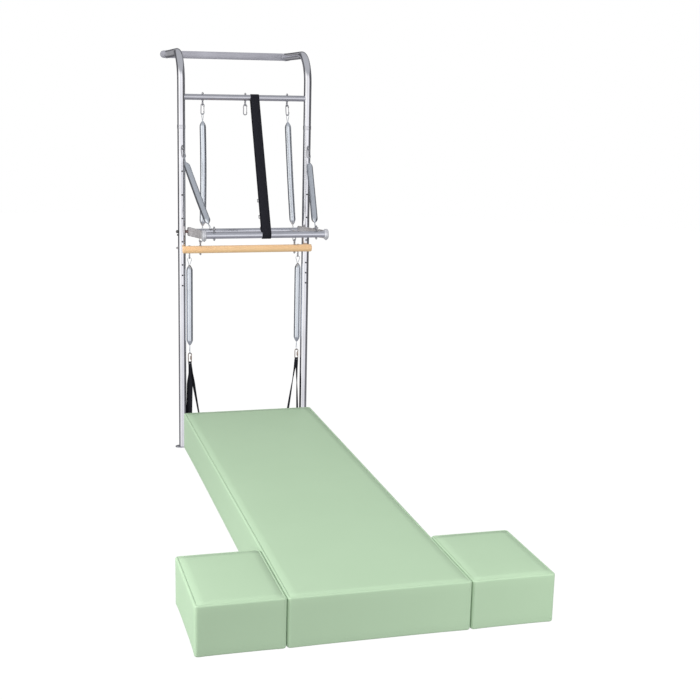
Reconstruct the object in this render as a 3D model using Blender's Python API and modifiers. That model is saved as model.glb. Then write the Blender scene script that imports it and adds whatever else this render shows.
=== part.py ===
"""Pilates wall unit: a steel tower on the wall, a push-through bar, a roll-down bar, two leg springs
with foot loops, a safety strap, and a mat with two side cushions.

Metres, +Z up. +Y points to the wall and +X to the right of someone who faces the wall.
Sizes are laid out from the tower's own point: the floor between the uprights. The whole unit is then
hung on one empty, which puts the origin under the middle of the unit's box.
"""

import math

import bmesh
import bpy
from mathutils import Matrix, Vector

# Clearance between solids that touch, and the play of a hook or a band of webbing on a wire
GAP = 0.0003
HOOK_PLAY = 0.0009
BAND_PLAY = 0.0009

# Sides of the round pieces
UPRIGHT_SIDES = 20
TUBE_SIDES = 16
PIVOT_SIDES = 12
BOLT_SIDES = 8

# Tower. Heights go down from the wall bar, where the tower is fixed.
UPRIGHT_SPACING = 0.665
UPRIGHT_DIAMETER = 0.040
UPRIGHT_WALL = 0.002
ARM_END_HEIGHT = 2.075
ARM_SLOPE = math.radians(1.6)
ARM_BEND_RADIUS = 0.075
CROSSBAR_DROP = 0.212
CROSSBAR_DIAMETER = 0.030
CROSSBAR_WALL = 0.002
JOINT_BELOW_CROSSBAR = 0.151
SLEEVE_HEIGHT = 0.020
SLEEVE_WALL = 0.0018
WALL_OFFSET = 0.540
WALL_BAR_OVERHANG = 0.035
WALL_BAR_HEIGHT = 0.040
WALL_BAR_THICKNESS = 0.008
WALL_FLANGE_RIM = 0.002
WALL_FLANGE_THICKNESS = 0.005
WALL_PLUG_LENGTH = 0.020
WALL_PLUG_CLEARANCE = 0.0009
FOOT_TAB = 0.020
FOOT_RIM = 0.005
FOOT_THICKNESS = 0.004
FOOT_HOLE_DIAMETER = 0.006

# Row of adjustment holes down the front of each upright. The upper eyebolt sits in the topmost hole.
HOLE_DIAMETER = 0.0085
UPPER_EYE_BELOW_JOINT = 0.104
UPPER_HOLE_PITCH = 0.122
UPPER_HOLE_COUNT = 5
LOWER_HOLE_PITCH = 0.055
LOWER_HOLE_COUNT = 2

# Eyebolts
EYE_HOLE_DIAMETER = 0.014
EYE_WIRE_DIAMETER = 0.006
BOLT_DIAMETER = 0.006
BOLT_COLLAR_DIAMETER = 0.013
BOLT_COLLAR_HEIGHT = 0.003
NUT_WIDTH = 0.012
NUT_HEIGHT = 0.006
BOLT_TIP = 0.003

# Snap hooks
SNAP_LENGTH = 0.058
SNAP_WIDTH = 0.022
SNAP_WIRE_DIAMETER = 0.005

# Springs
COIL_DIAMETER = 0.032
COIL_WIRE_DIAMETER = 0.0036
COIL_HOOK_RADIUS = 0.0095
COIL_HOOK_SWEEP = 250
COIL_NECK = 0.026
ROLL_SPRING_TURNS = 9
PUSH_SPRING_TURNS = 8
LEG_SPRING_TURNS = 7

# Push-through bar
PIVOT_HEIGHT = 1.171
PUSH_REACH = 0.540
PUSH_RISE = 0.049
PUSH_FRONT_DIAMETER = 0.031
PUSH_REAR_DIAMETER = 0.028
PUSH_WALL = 0.002
ARM_TO_UPRIGHT = 0.0115
ARM_THICKNESS = 0.010
ARM_WIDTH_AT_PIVOT = 0.046
ARM_WIDTH_AT_FRONT = 0.040
HUB_WALL = 0.0105
HUB_LENGTH = 0.018
HUB_OFFSET = 0.008
HUB_LIP = 0.003
END_CAP_THICKNESS = 0.004
END_CAP_RIM = 0.0016
END_CAP_ROUNDING = 0.0047
END_CAP_PLUG_LENGTH = 0.010
PIVOT_BOLT_DIAMETER = 0.010
PIVOT_COLLAR_DIAMETER = 0.016
PIVOT_BOLT_REACH_IN = 0.008
PIVOT_NUT_WIDTH = 0.016
PIVOT_NUT_HEIGHT = 0.008
PUSH_EYE_INSET = 0.0365
PUSH_SPRING_TOP_SAG = 0.022
PUSH_SPRING_END_SAG = 0.036

# Roll-down bar
ROLL_BELOW_PIVOT = 0.0903
ROLL_DIAMETER = 0.039
ROLL_OVERHANG = 0.0125
ROLL_SHIFT = 0.011
ROLL_END_ROUNDING = 0.004
ROLL_EYE_INSET = 0.0925
CROSSBAR_EYE_INSET = 0.1105

# Leg springs and foot loops
LEG_EYE_BELOW_PIVOT = 0.086
LEG_EYE_SPACER = 0.004
LEG_SPRING_END_HEIGHT = 0.465
WEB_WIDTH = 0.038
WEB_NECK = 0.005
WEB_THICKNESS = 0.0025
LOOP_BOTTOM_HEIGHT = 0.112
LOOP_RADIUS = 0.031
LOOP_TO_UPRIGHT = 0.0095
LEFT_STRAND_TURN = math.radians(45)
LEFT_STRAND_TO_UPRIGHT = 0.001
LOOP_OPENING_FALL = 0.06

# Safety strap
STRAP_WIDTH = 0.044
STRAP_THICKNESS = 0.0025
STRAP_TOP_X = 0.048
STRAP_BOTTOM_X = 0.0045
STRAP_PLAY = 0.0008
BUCKLE_LENGTH = 0.022
BUCKLE_BAR = 0.003
BUCKLE_RISE = 0.050

# Mat and side cushions
MAT_LENGTH = 2.5027
MAT_WIDTH = 0.700
MAT_HEIGHT = 0.198
MAT_SHIFT = 0.0185
SIDE_WIDTH = 0.333
SIDE_LENGTH = 0.481
SIDE_GAP = 0.0005
CUSHION_CROWN = 0.005
CUSHION_DRAW_IN = 0.003
CUSHION_TAPER = 0.004
CUSHION_EDGE = 0.010

# Places that follow from the sizes
UPRIGHT_X = UPRIGHT_SPACING / 2
UPRIGHT_R = UPRIGHT_DIAMETER / 2
UPRIGHT_INSIDE_X = UPRIGHT_X - UPRIGHT_R
CROSSBAR_HEIGHT = ARM_END_HEIGHT - CROSSBAR_DROP
CROSSBAR_R = CROSSBAR_DIAMETER / 2
JOINT_HEIGHT = CROSSBAR_HEIGHT - JOINT_BELOW_CROSSBAR
UPPER_EYE_HEIGHT = JOINT_HEIGHT - UPPER_EYE_BELOW_JOINT
LEG_EYE_HEIGHT = PIVOT_HEIGHT - LEG_EYE_BELOW_PIVOT
FOOT_WIDTH = UPRIGHT_DIAMETER + 2 * FOOT_RIM
FOOT_LENGTH = UPRIGHT_DIAMETER + 2 * FOOT_TAB
EYE_RING_R = (EYE_HOLE_DIAMETER + EYE_WIRE_DIAMETER) / 2
EYE_TO_SEAT = EYE_RING_R + EYE_WIRE_DIAMETER / 2 + BOLT_COLLAR_HEIGHT
EYE_BEARING = (EYE_HOLE_DIAMETER - SNAP_WIRE_DIAMETER) / 2 - HOOK_PLAY
SNAP_PITCH = SNAP_LENGTH - SNAP_WIRE_DIAMETER
HOOK_OVERLAP = (SNAP_WIRE_DIAMETER + COIL_WIRE_DIAMETER) / 2 + HOOK_PLAY
MAT_BACK_Y = -max(FOOT_WIDTH / 2 - CUSHION_TAPER, UPRIGHT_R) - GAP
MAT_FRONT_Y = MAT_BACK_Y - MAT_LENGTH
ORIGIN_X = MAT_SHIFT
ORIGIN_Y = (MAT_FRONT_Y + WALL_OFFSET) / 2

X_AXIS, Y_AXIS, Z_AXIS = Vector((1, 0, 0)), Vector((0, 1, 0)), Vector((0, 0, 1))
SIDES = (("left", -1), ("right", 1))


def clear_scene():
    for obj in list(bpy.data.objects):
        bpy.data.objects.remove(obj, do_unlink=True)


def new_collection(name):
    collection = bpy.data.collections.new(name)
    bpy.context.scene.collection.children.link(collection)
    return collection


def new_material(name, colour, roughness, metallic=0.0):
    material = bpy.data.materials.new(name)
    material.use_nodes = True
    shader = material.node_tree.nodes["Principled BSDF"]
    shader.inputs["Base Color"].default_value = (*colour, 1.0)
    shader.inputs["Roughness"].default_value = roughness
    shader.inputs["Metallic"].default_value = metallic
    return material


clear_scene()
PARTS = new_collection("pilates_wall_unit")

CHROME = new_material("polished_steel", (0.78, 0.79, 0.81), 0.12, 1.0)
BRUSHED = new_material("brushed_steel", (0.55, 0.56, 0.58), 0.35, 1.0)
ZINC = new_material("zinc_hardware", (0.62, 0.62, 0.63), 0.28, 1.0)
DARK_BOLT = new_material("dark_bolt", (0.20, 0.18, 0.18), 0.40, 1.0)
SPRING = new_material("spring_steel", (0.66, 0.68, 0.72), 0.22, 1.0)
BRONZE = new_material("bronze_snap", (0.55, 0.44, 0.28), 0.30, 1.0)
WOOD = new_material("maple", (0.83, 0.58, 0.32), 0.45)
WEBBING = new_material("black_webbing", (0.02, 0.02, 0.025), 0.80)
CAP = new_material("grey_cap", (0.55, 0.56, 0.57), 0.45)
VINYL = new_material("mint_vinyl", (0.52, 0.72, 0.52), 0.50)


def new_empty(name, location, parent=None):
    """An empty at a place given from the tower's point; its parent is an empty too."""
    empty = bpy.data.objects.new(name, None)
    PARTS.objects.link(empty)
    empty["place"] = tuple(location)
    empty.parent = parent
    base = Vector(parent["place"]) if parent else Vector((ORIGIN_X, ORIGIN_Y, 0))
    empty.location = Vector(location) - base
    return empty


TOWER = new_empty("tower_point", (0, 0, 0))


def place(name, mesh, material, location=(0, 0, 0), rotation=None, parent=TOWER):
    """Put a mesh into the unit, at a place given from the tower's point."""
    obj = bpy.data.objects.new(name, mesh)
    PARTS.objects.link(obj)
    obj.parent = parent
    obj.location = Vector(location) - Vector(parent["place"])
    if rotation is not None:
        obj.rotation_euler = rotation.to_euler()
    obj.data.materials.clear()
    obj.data.materials.append(material)
    return obj


def mesh_from_bmesh(bm, name):
    mesh = bpy.data.meshes.new(name)
    bm.normal_update()
    bm.to_mesh(mesh)
    bm.free()
    mesh.shade_smooth()
    mesh.set_sharp_from_angle(angle=math.radians(35))
    return mesh


def evaluated_mesh(obj, name):
    """The mesh of an object with its modifiers or bevel, in the object's parent space, caps welded."""
    bpy.context.view_layer.update()
    graph = bpy.context.evaluated_depsgraph_get()
    mesh = bpy.data.meshes.new_from_object(obj.evaluated_get(graph), depsgraph=graph)
    mesh.name = name
    mesh.transform(obj.matrix_world)
    bpy.data.objects.remove(obj, do_unlink=True)
    bm = bmesh.new()
    bm.from_mesh(mesh)
    bmesh.ops.remove_doubles(bm, verts=bm.verts, dist=1e-6)
    bm.to_mesh(mesh)
    bm.free()
    mesh.shade_smooth()
    mesh.set_sharp_from_angle(angle=math.radians(35))
    return mesh


def turned_to(direction):
    """The rotation that takes +Z to a direction."""
    return Vector(direction).to_track_quat("Z", "Y").to_matrix()


def rod(radius, start, end, sides=TUBE_SIDES, name="rod"):
    """A closed cylinder from one point to another."""
    start, end = Vector(start), Vector(end)
    axis = end - start
    bm = bmesh.new()
    bmesh.ops.create_cone(bm, cap_ends=True, segments=sides, radius1=radius, radius2=radius,
                          depth=axis.length)
    turn = Matrix.Translation((start + end) / 2) @ turned_to(axis).to_4x4()
    bmesh.ops.transform(bm, matrix=turn, verts=bm.verts)
    return mesh_from_bmesh(bm, name)


def hollow_rod(radius, wall, length, sides, name):
    """An open tube along +Z that starts at the origin: a turned wall section, closed round."""
    profile = [(radius, length), (radius, 0), (radius - wall, 0), (radius - wall, length)]
    return turned(profile, sides, name, closed=True)


def turned(profile, sides, name, closed=False):
    """A profile of (radius, height) points spun about Z, from the top of its outer side down."""
    bm = bmesh.new()
    points = [bm.verts.new((r, 0, z)) for r, z in profile]
    for first, second in zip(points, points[1:]):
        bm.edges.new((first, second))
    if closed:
        bm.edges.new((points[-1], points[0]))
    mesh = bpy.data.meshes.new(name)
    bm.to_mesh(mesh)
    bm.free()
    obj = bpy.data.objects.new(name, mesh)
    PARTS.objects.link(obj)
    screw = obj.modifiers.new("turn", "SCREW")
    screw.angle = 2 * math.pi
    screw.steps = screw.render_steps = sides
    screw.use_merge_vertices = True
    screw.merge_threshold = 0.00001
    return evaluated_mesh(obj, name)


def boolean(mesh, others, operation, name):
    """One mesh with others cut away from it or joined to it."""
    obj = bpy.data.objects.new(name, mesh)
    PARTS.objects.link(obj)
    tools = []
    for other in others:
        tool = bpy.data.objects.new(name + "_tool", other)
        tool.hide_render = True
        tool.display_type = "WIRE"
        PARTS.objects.link(tool)
        step = obj.modifiers.new("join_or_cut", "BOOLEAN")
        step.solver = "EXACT"
        step.operation = operation
        step.object = tool
        tools.append(tool)
    result = evaluated_mesh(obj, name)
    for tool in tools:
        bpy.data.objects.remove(tool, do_unlink=True)
    return result


def bent_tube(points, diameter, name, resolution=2, cyclic=False):
    """A solid wire along a list of points."""
    curve = bpy.data.curves.new(name, "CURVE")
    curve.dimensions = "3D"
    curve.bevel_depth = diameter / 2
    curve.bevel_resolution = resolution
    curve.use_fill_caps = not cyclic
    spline = curve.splines.new("POLY")
    spline.points.add(len(points) - 1)
    for target, point in zip(spline.points, points):
        target.co = (*point, 1)
    spline.use_cyclic_u = cyclic
    obj = bpy.data.objects.new(name, curve)
    PARTS.objects.link(obj)
    return evaluated_mesh(obj, name)


def flat_shape(outlines, thickness, name):
    """A plate of an outline with holes, centred on its own XY plane."""
    curve = bpy.data.curves.new(name, "CURVE")
    curve.dimensions = "2D"
    curve.fill_mode = "BOTH"
    curve.extrude = thickness / 2
    for outline in outlines:
        spline = curve.splines.new("POLY")
        spline.points.add(len(outline) - 1)
        for target, (x, y) in zip(spline.points, outline):
            target.co = (x, y, 0, 1)
        spline.use_cyclic_u = True
    obj = bpy.data.objects.new(name, curve)
    PARTS.objects.link(obj)
    return evaluated_mesh(obj, name)


def arc(centre, radius, start, end, steps):
    """Points on an arc in a plane, angles in degrees, both ends included."""
    angles = [math.radians(start + (end - start) * i / steps) for i in range(steps + 1)]
    return [(centre[0] + radius * math.cos(a), centre[1] + radius * math.sin(a)) for a in angles]


def stadium(length, radius, steps=6):
    """The outline of a bar of a length between centres, with round ends, along X."""
    return arc((length / 2, 0), radius, -90, 90, steps) + arc((-length / 2, 0), radius, 90, 270, steps)


# Uprights: two tubes each, the upper one bent back to the wall

WALL_FLANGE_Y = WALL_OFFSET - WALL_BAR_THICKNESS - GAP - WALL_FLANGE_THICKNESS
UPPER_TUBE_END_Y = WALL_FLANGE_Y - GAP
BEND_STEPS = 6


def upright_holes():
    """Heights of the adjustment holes, from the one under the upper eyebolt down."""
    upper = [UPPER_EYE_HEIGHT - UPPER_HOLE_PITCH * (i + 1) for i in range(UPPER_HOLE_COUNT)]
    return upper + [upper[-1] - LOWER_HOLE_PITCH * (i + 1) for i in range(LOWER_HOLE_COUNT)]


def through_hole(diameter, centre, axis, sides):
    """A cutter for a bolt that goes right through an upright."""
    reach = Vector(axis) * UPRIGHT_DIAMETER
    return rod(diameter / 2 + GAP, Vector(centre) - reach, Vector(centre) + reach, sides, "hole")


def lower_upright():
    base = FOOT_THICKNESS + GAP
    length = JOINT_HEIGHT - GAP / 2 - base
    tube = hollow_rod(UPRIGHT_R, UPRIGHT_WALL, length, UPRIGHT_SIDES, "lower_upright")
    tube.transform(Matrix.Translation((0, 0, base)))
    cutters = [through_hole(BOLT_DIAMETER, (0, 0, UPPER_EYE_HEIGHT), Y_AXIS, BOLT_SIDES)]
    cutters.append(through_hole(BOLT_DIAMETER, (0, 0, LEG_EYE_HEIGHT), X_AXIS, BOLT_SIDES))
    cutters.append(through_hole(PIVOT_BOLT_DIAMETER, (0, 0, PIVOT_HEIGHT), X_AXIS, PIVOT_SIDES))
    for height in upright_holes():
        front, middle = Vector((0, -UPRIGHT_DIAMETER, height)), Vector((0, 0, height))
        cutters.append(rod(HOLE_DIAMETER / 2, front, middle, PIVOT_SIDES, "adjustment_hole"))
    return boolean(tube, cutters, "DIFFERENCE", "lower_upright")


def upper_tube_path(overrun):
    """The centre line of the upper tube in its own YZ plane. It runs from the joint up, round the bend
    and back, past the face of the wall flange."""
    turn = math.pi / 2 + ARM_SLOPE
    bend_end_y = ARM_BEND_RADIUS * (1 + math.sin(ARM_SLOPE))
    bend_end_z = ARM_END_HEIGHT + (UPPER_TUBE_END_Y - bend_end_y) * math.tan(ARM_SLOPE)
    centre_z = bend_end_z - ARM_BEND_RADIUS * math.cos(ARM_SLOPE)
    points = [Vector((0, 0, JOINT_HEIGHT + GAP / 2))]
    for i in range(BEND_STEPS + 1):
        angle = math.pi - turn * i / BEND_STEPS
        points.append(Vector((0, ARM_BEND_RADIUS * (1 + math.cos(angle)),
                              centre_z + ARM_BEND_RADIUS * math.sin(angle))))
    backwards = Vector((0, math.cos(ARM_SLOPE), -math.sin(ARM_SLOPE)))
    end = Vector((0, UPPER_TUBE_END_Y, ARM_END_HEIGHT))
    points.append(end + backwards * overrun)
    return points


def upper_upright():
    """A bent tube, cut square at its wall end."""
    inside_path = upper_tube_path(UPRIGHT_R + UPRIGHT_WALL)
    inside_path[0].z -= UPRIGHT_WALL
    resolution = (TUBE_SIDES - 4) // 2
    outside = bent_tube(upper_tube_path(UPRIGHT_R), UPRIGHT_DIAMETER, "upper_upright", resolution)
    inside = bent_tube(inside_path, UPRIGHT_DIAMETER - 2 * UPRIGHT_WALL, "upper_inside", resolution)
    tube = boolean(outside, [inside], "DIFFERENCE", "upper_upright")
    end = Vector((0, UPPER_TUBE_END_Y, ARM_END_HEIGHT))
    trim = rod(UPRIGHT_DIAMETER, end, end + Y_AXIS * UPRIGHT_DIAMETER, BOLT_SIDES, "trim")
    return boolean(tube, [trim], "DIFFERENCE", "upper_upright")


foot_outline = [stadium(FOOT_LENGTH - FOOT_WIDTH, FOOT_WIDTH / 2)]
foot_hole_x = (UPRIGHT_R + FOOT_LENGTH / 2) / 2
for hole_x in (-foot_hole_x, foot_hole_x):
    foot_outline.append(arc((hole_x, 0), FOOT_HOLE_DIAMETER / 2, 0, 315, 7))
foot_mesh = flat_shape(foot_outline, FOOT_THICKNESS, "foot_flange")
lower_mesh = lower_upright()
upper_mesh = upper_upright()
sleeve_outside = UPRIGHT_R + GAP + SLEEVE_WALL
sleeve_mesh = hollow_rod(sleeve_outside, SLEEVE_WALL, SLEEVE_HEIGHT, UPRIGHT_SIDES, "joint_sleeve")

flange_r = UPRIGHT_R + WALL_FLANGE_RIM
plug_r = UPRIGHT_R - UPRIGHT_WALL - WALL_PLUG_CLEARANCE
flange_profile = [(0, WALL_FLANGE_THICKNESS), (flange_r, WALL_FLANGE_THICKNESS), (flange_r, 0),
                  (plug_r, 0), (plug_r, -WALL_PLUG_LENGTH), (0, -WALL_PLUG_LENGTH)]
wall_flange_mesh = turned(flange_profile, UPRIGHT_SIDES, "wall_flange")

for side, sign in SIDES:
    x = sign * UPRIGHT_X
    place(f"foot_flange_{side}", foot_mesh.copy(), BRUSHED, (x, 0, FOOT_THICKNESS / 2))
    place(f"upright_lower_{side}", lower_mesh.copy(), CHROME, (x, 0, 0))
    place(f"upright_upper_{side}", upper_mesh.copy(), CHROME, (x, 0, 0))
    place(f"joint_sleeve_{side}", sleeve_mesh.copy(), BRUSHED, (x, 0, JOINT_HEIGHT - SLEEVE_HEIGHT / 2))
    place(f"wall_flange_{side}", wall_flange_mesh.copy(), BRUSHED, (x, WALL_FLANGE_Y, ARM_END_HEIGHT),
          turned_to(Y_AXIS))

# Flat bar on the wall

bar_centres = UPRIGHT_SPACING + 2 * WALL_BAR_OVERHANG - WALL_BAR_HEIGHT
bar_outline = stadium(bar_centres, WALL_BAR_HEIGHT / 2, 8)
place("wall_bar", flat_shape([bar_outline], WALL_BAR_THICKNESS, "wall_bar"), BRUSHED,
      (0, WALL_OFFSET - WALL_BAR_THICKNESS / 2, ARM_END_HEIGHT), Matrix.Rotation(math.pi / 2, 3, "X"))

# Upper crossbar: a tube coped to the uprights, with three bolt holes

ROLL_SPRING_X = UPRIGHT_X - CROSSBAR_EYE_INSET


def crossbar():
    length = UPRIGHT_SPACING
    tube = hollow_rod(CROSSBAR_R, CROSSBAR_WALL, length, TUBE_SIDES, "crossbar")
    tube.transform(Matrix.Translation((-length / 2, 0, 0)) @ turned_to(X_AXIS).to_4x4())
    cutters = []
    for sign in (-1, 1):
        low, high = (sign * UPRIGHT_X, 0, -UPRIGHT_DIAMETER), (sign * UPRIGHT_X, 0, UPRIGHT_DIAMETER)
        cutters.append(rod(UPRIGHT_R + GAP, low, high, UPRIGHT_SIDES, "cope"))
    for x in (-ROLL_SPRING_X, 0, ROLL_SPRING_X):
        low, high = (x, 0, -CROSSBAR_DIAMETER), (x, 0, CROSSBAR_DIAMETER)
        cutters.append(rod(BOLT_DIAMETER / 2 + GAP, low, high, BOLT_SIDES, "bolt_hole"))
    return boolean(tube, cutters, "DIFFERENCE", "upper_crossbar")


place("upper_crossbar", crossbar(), CHROME, (0, 0, CROSSBAR_HEIGHT))


# Eyebolts: eye, collar, shank and nut in one piece, with the eye's centre at the origin

def eyebolt(grip, name, seat=EYE_TO_SEAT):
    ring = [EYE_RING_R * Vector((0, math.cos(a), math.sin(a)))
            for a in (2 * math.pi * i / 12 for i in range(12))]
    eye = bent_tube(ring, EYE_WIRE_DIAMETER, name, 1, cyclic=True)
    nut_base = seat + grip + 2 * GAP
    tip = nut_base + NUT_HEIGHT + BOLT_TIP
    shank = rod(BOLT_DIAMETER / 2, (0, 0, EYE_RING_R), (0, 0, tip), BOLT_SIDES)
    collar_base = EYE_TO_SEAT - BOLT_COLLAR_HEIGHT
    collar = rod(BOLT_COLLAR_DIAMETER / 2, (0, 0, collar_base), (0, 0, seat), PIVOT_SIDES)
    nut = rod(NUT_WIDTH / math.sqrt(3), (0, 0, nut_base), (0, 0, nut_base + NUT_HEIGHT), 6)
    return boolean(eye, [shank, collar, nut], "UNION", name)


def eye_turn(shank_direction, hole_direction):
    """The rotation that points an eyebolt's shank and the hole of its eye."""
    z = Vector(shank_direction)
    x = Vector(hole_direction)
    return Matrix((x, z.cross(x), z)).transposed()


crossbar_eyebolt = eyebolt(CROSSBAR_DIAMETER, "crossbar_eyebolt")
upright_eyebolt = eyebolt(UPRIGHT_DIAMETER, "upright_eyebolt")
LEG_EYE_TO_SEAT = EYE_TO_SEAT + LEG_EYE_SPACER
leg_eyebolt = eyebolt(UPRIGHT_DIAMETER, "leg_eyebolt", LEG_EYE_TO_SEAT)
push_eyebolt = eyebolt(PUSH_FRONT_DIAMETER, "push_eyebolt")
roll_eyebolt = eyebolt(ROLL_DIAMETER, "roll_eyebolt")

CROSSBAR_EYE_Z = CROSSBAR_HEIGHT - CROSSBAR_R - GAP - EYE_TO_SEAT
UPRIGHT_EYE_Y = -(UPRIGHT_R + GAP + EYE_TO_SEAT)
LEG_EYE_X = UPRIGHT_INSIDE_X - GAP - LEG_EYE_TO_SEAT

for tag, x in (("left", -ROLL_SPRING_X), ("centre", 0), ("right", ROLL_SPRING_X)):
    place(f"crossbar_eyebolt_{tag}", crossbar_eyebolt.copy(), ZINC, (x, 0, CROSSBAR_EYE_Z))
for side, sign in SIDES:
    place(f"upper_eyebolt_{side}", upright_eyebolt.copy(), ZINC,
          (sign * UPRIGHT_X, UPRIGHT_EYE_Y, UPPER_EYE_HEIGHT), eye_turn(Y_AXIS, X_AXIS))
    place(f"lower_eyebolt_{side}", leg_eyebolt.copy(), ZINC,
          (sign * LEG_EYE_X, 0, LEG_EYE_HEIGHT), eye_turn(X_AXIS * sign, Y_AXIS))


# Snap hooks and springs hang in lines between two eyes

def snap_mesh():
    """A closed oval hook that hangs down from the middle of its top wire, in its own XZ plane."""
    bend = (SNAP_WIDTH - SNAP_WIRE_DIAMETER) / 2
    top = arc((0, -bend), bend, 0, 180, 4)
    bottom = arc((0, bend - SNAP_PITCH), bend, 180, 360, 6)
    return bent_tube([Vector((x, 0, z)) for x, z in top + bottom], SNAP_WIRE_DIAMETER, "snap", 1, cyclic=True)


def coil_points(length, turns):
    """A spring's wire from its upper hook to its lower one, hung from the middle of the wire that it
    hooks on. Its upper hook lies in its own YZ plane, the odd quarter of a turn sets the lower one
    across it, and its body tapers to both."""
    full = (COIL_DIAMETER - COIL_WIRE_DIAMETER) / 2
    steps = 8
    hook_z = HOOK_OVERLAP - COIL_HOOK_RADIUS
    hook = [Vector((0, y, z)) for y, z in arc((0, hook_z), COIL_HOOK_RADIUS, COIL_HOOK_SWEEP, 0, 6)]
    body_top = hook_z - COIL_NECK
    body_length = length + 2 * body_top
    body = []
    for i in range(round(turns * steps) + 1):
        turn = i / steps
        ease = min(1.0, turn, turns - turn)
        radius = COIL_HOOK_RADIUS + (full - COIL_HOOK_RADIUS) * ease
        angle = 2 * math.pi * turn
        body.append(Vector((radius * math.sin(angle), radius * math.cos(angle),
                            body_top - body_length * turn / turns)))
    end = 2 * math.pi * turns
    lower_hook = [Vector((p.y * math.sin(end), p.y * math.cos(end), -length - p.z)) for p in reversed(hook)]
    return hook + body + lower_hook


def least_gap(points, diameter):
    """The smallest clear distance between stretches of a wire that aren't next to each other."""
    least = math.inf
    for i, first in enumerate(points):
        travelled = 0.0
        for j in range(i + 1, len(points)):
            travelled += (points[j] - points[j - 1]).length
            if travelled > 4 * diameter:
                least = min(least, (points[j] - first).length - diameter)
    return least


def coil_mesh(length, turns, name):
    points = coil_points(length, turns)
    print(f"{name}: least gap of the wire to itself {least_gap(points, COIL_WIRE_DIAMETER) * 1000:.2f} mm")
    return bent_tube(points, COIL_WIRE_DIAMETER, name, 1)


def line_turn(direction, across):
    """The rotation that hangs a part down a line, with its own X near the across direction."""
    z = -Vector(direction).normalized()
    x = (Vector(across) - z * z.dot(Vector(across))).normalized()
    return Matrix((x, z.cross(x), z)).transposed()


def leaned(direction, sag, length):
    """A direction turned down, so that its end after a length lies a sag below the straight line."""
    if not sag:
        return direction
    down = (direction * direction.z - Z_AXIS).normalized()
    share = sag / length
    return direction * math.sqrt(1 - share * share) + down * share


def upper_wire(top_eye, bottom_wire, sag=0.0):
    """The top wire of the snap hook under an eye, and the direction in which that hook hangs."""
    hang = leaned((Vector(bottom_wire) - Vector(top_eye)).normalized(), sag, SNAP_PITCH)
    return Vector(top_eye) + hang * EYE_BEARING, hang


def hang_spring(prefix, side, top_eye, bottom_wire, turns, upper_parent, lower_parent, snap=ZINC,
                across=X_AXIS, lower_across=None, sags=(0.0, 0.0)):
    """An upper snap hook, a coil and a lower snap hook, from the centre of the eye above to the middle
    of the lower snap's bottom wire. A slack spring's coil sags below that line at both its ends."""
    bottom_wire = Vector(bottom_wire)
    upper_snap, hang = upper_wire(top_eye, bottom_wire, sags[0])
    back = leaned((Vector(top_eye) - bottom_wire).normalized(), sags[1], SNAP_PITCH)
    coil_top = upper_snap + hang * SNAP_PITCH
    coil_bottom = bottom_wire + back * SNAP_PITCH
    coil_line = coil_bottom - coil_top
    coil = coil_mesh(coil_line.length, turns, f"{prefix}_coil_{side}")
    place(f"{prefix}_upper_hook_{side}", snap_mesh(), snap, upper_snap, line_turn(hang, across), upper_parent)
    place(f"{prefix}_coil_{side}", coil, SPRING, coil_top, line_turn(coil_line, across), upper_parent)
    place(f"{prefix}_lower_hook_{side}", snap_mesh(), snap, coil_bottom,
          line_turn(-back, lower_across or across), lower_parent)


def wire_under(eye):
    """The top wire of a snap hook that hangs straight down from an eye."""
    return Vector(eye) - Z_AXIS * EYE_BEARING


centre_eye = (0, 0, CROSSBAR_EYE_Z)
centre_hang = new_empty("centre_snap_axis", wire_under(centre_eye), TOWER)
place("centre_snap_hook", snap_mesh(), ZINC, wire_under(centre_eye), None, centre_hang)

# Push-through bar

PIVOT = Vector((0, 0, PIVOT_HEIGHT))
FRONT = Vector((0, -PUSH_REACH, PIVOT_HEIGHT + PUSH_RISE))
push_axis = new_empty("push_bar_axis", PIVOT, TOWER)
ARM_OUTER_X = UPRIGHT_INSIDE_X - ARM_TO_UPRIGHT
ARM_INNER_X = ARM_OUTER_X - ARM_THICKNESS
HUB_INNER_X = (ARM_OUTER_X + ARM_INNER_X - HUB_LENGTH) / 2 + HUB_OFFSET
PUSH_END_X = HUB_INNER_X + HUB_LENGTH - HUB_LIP
PUSH_EYE_X = ARM_INNER_X - PUSH_EYE_INSET
FRONT_R = PUSH_FRONT_DIAMETER / 2


def arm_mesh(sign):
    """A flat arm from the pivot to the round hub on the front tube, in place but for the pivot."""
    reach = FRONT - PIVOT
    length = reach.length
    outline = arc((0, 0), ARM_WIDTH_AT_PIVOT / 2, -90, -270, 8)
    front_half = ARM_WIDTH_AT_FRONT / 2
    outline += [(length, front_half), (length, -front_half)]
    plate = flat_shape([outline], ARM_THICKNESS, "arm_plate")
    along = reach.normalized()
    across = X_AXIS * sign
    frame = Matrix((along, across.cross(along), across)).transposed().to_4x4()
    middle = X_AXIS * sign * (ARM_OUTER_X - ARM_THICKNESS / 2)
    plate.transform(Matrix.Translation(middle) @ frame)
    inner = across * HUB_INNER_X
    outer = inner + across * HUB_LENGTH
    hub = rod(FRONT_R + HUB_WALL, reach + inner, reach + outer)
    arm = boolean(plate, [hub], "UNION", "arm")
    bore_start = across * (ARM_INNER_X - GAP)
    bore = rod(FRONT_R + GAP, reach + bore_start, reach + outer + across * GAP)
    clear = across * ARM_THICKNESS
    pin = rod(PIVOT_BOLT_DIAMETER / 2 + GAP, middle - clear, middle + clear, PIVOT_SIDES)
    return boolean(arm, [bore, pin], "DIFFERENCE", "arm")


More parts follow.
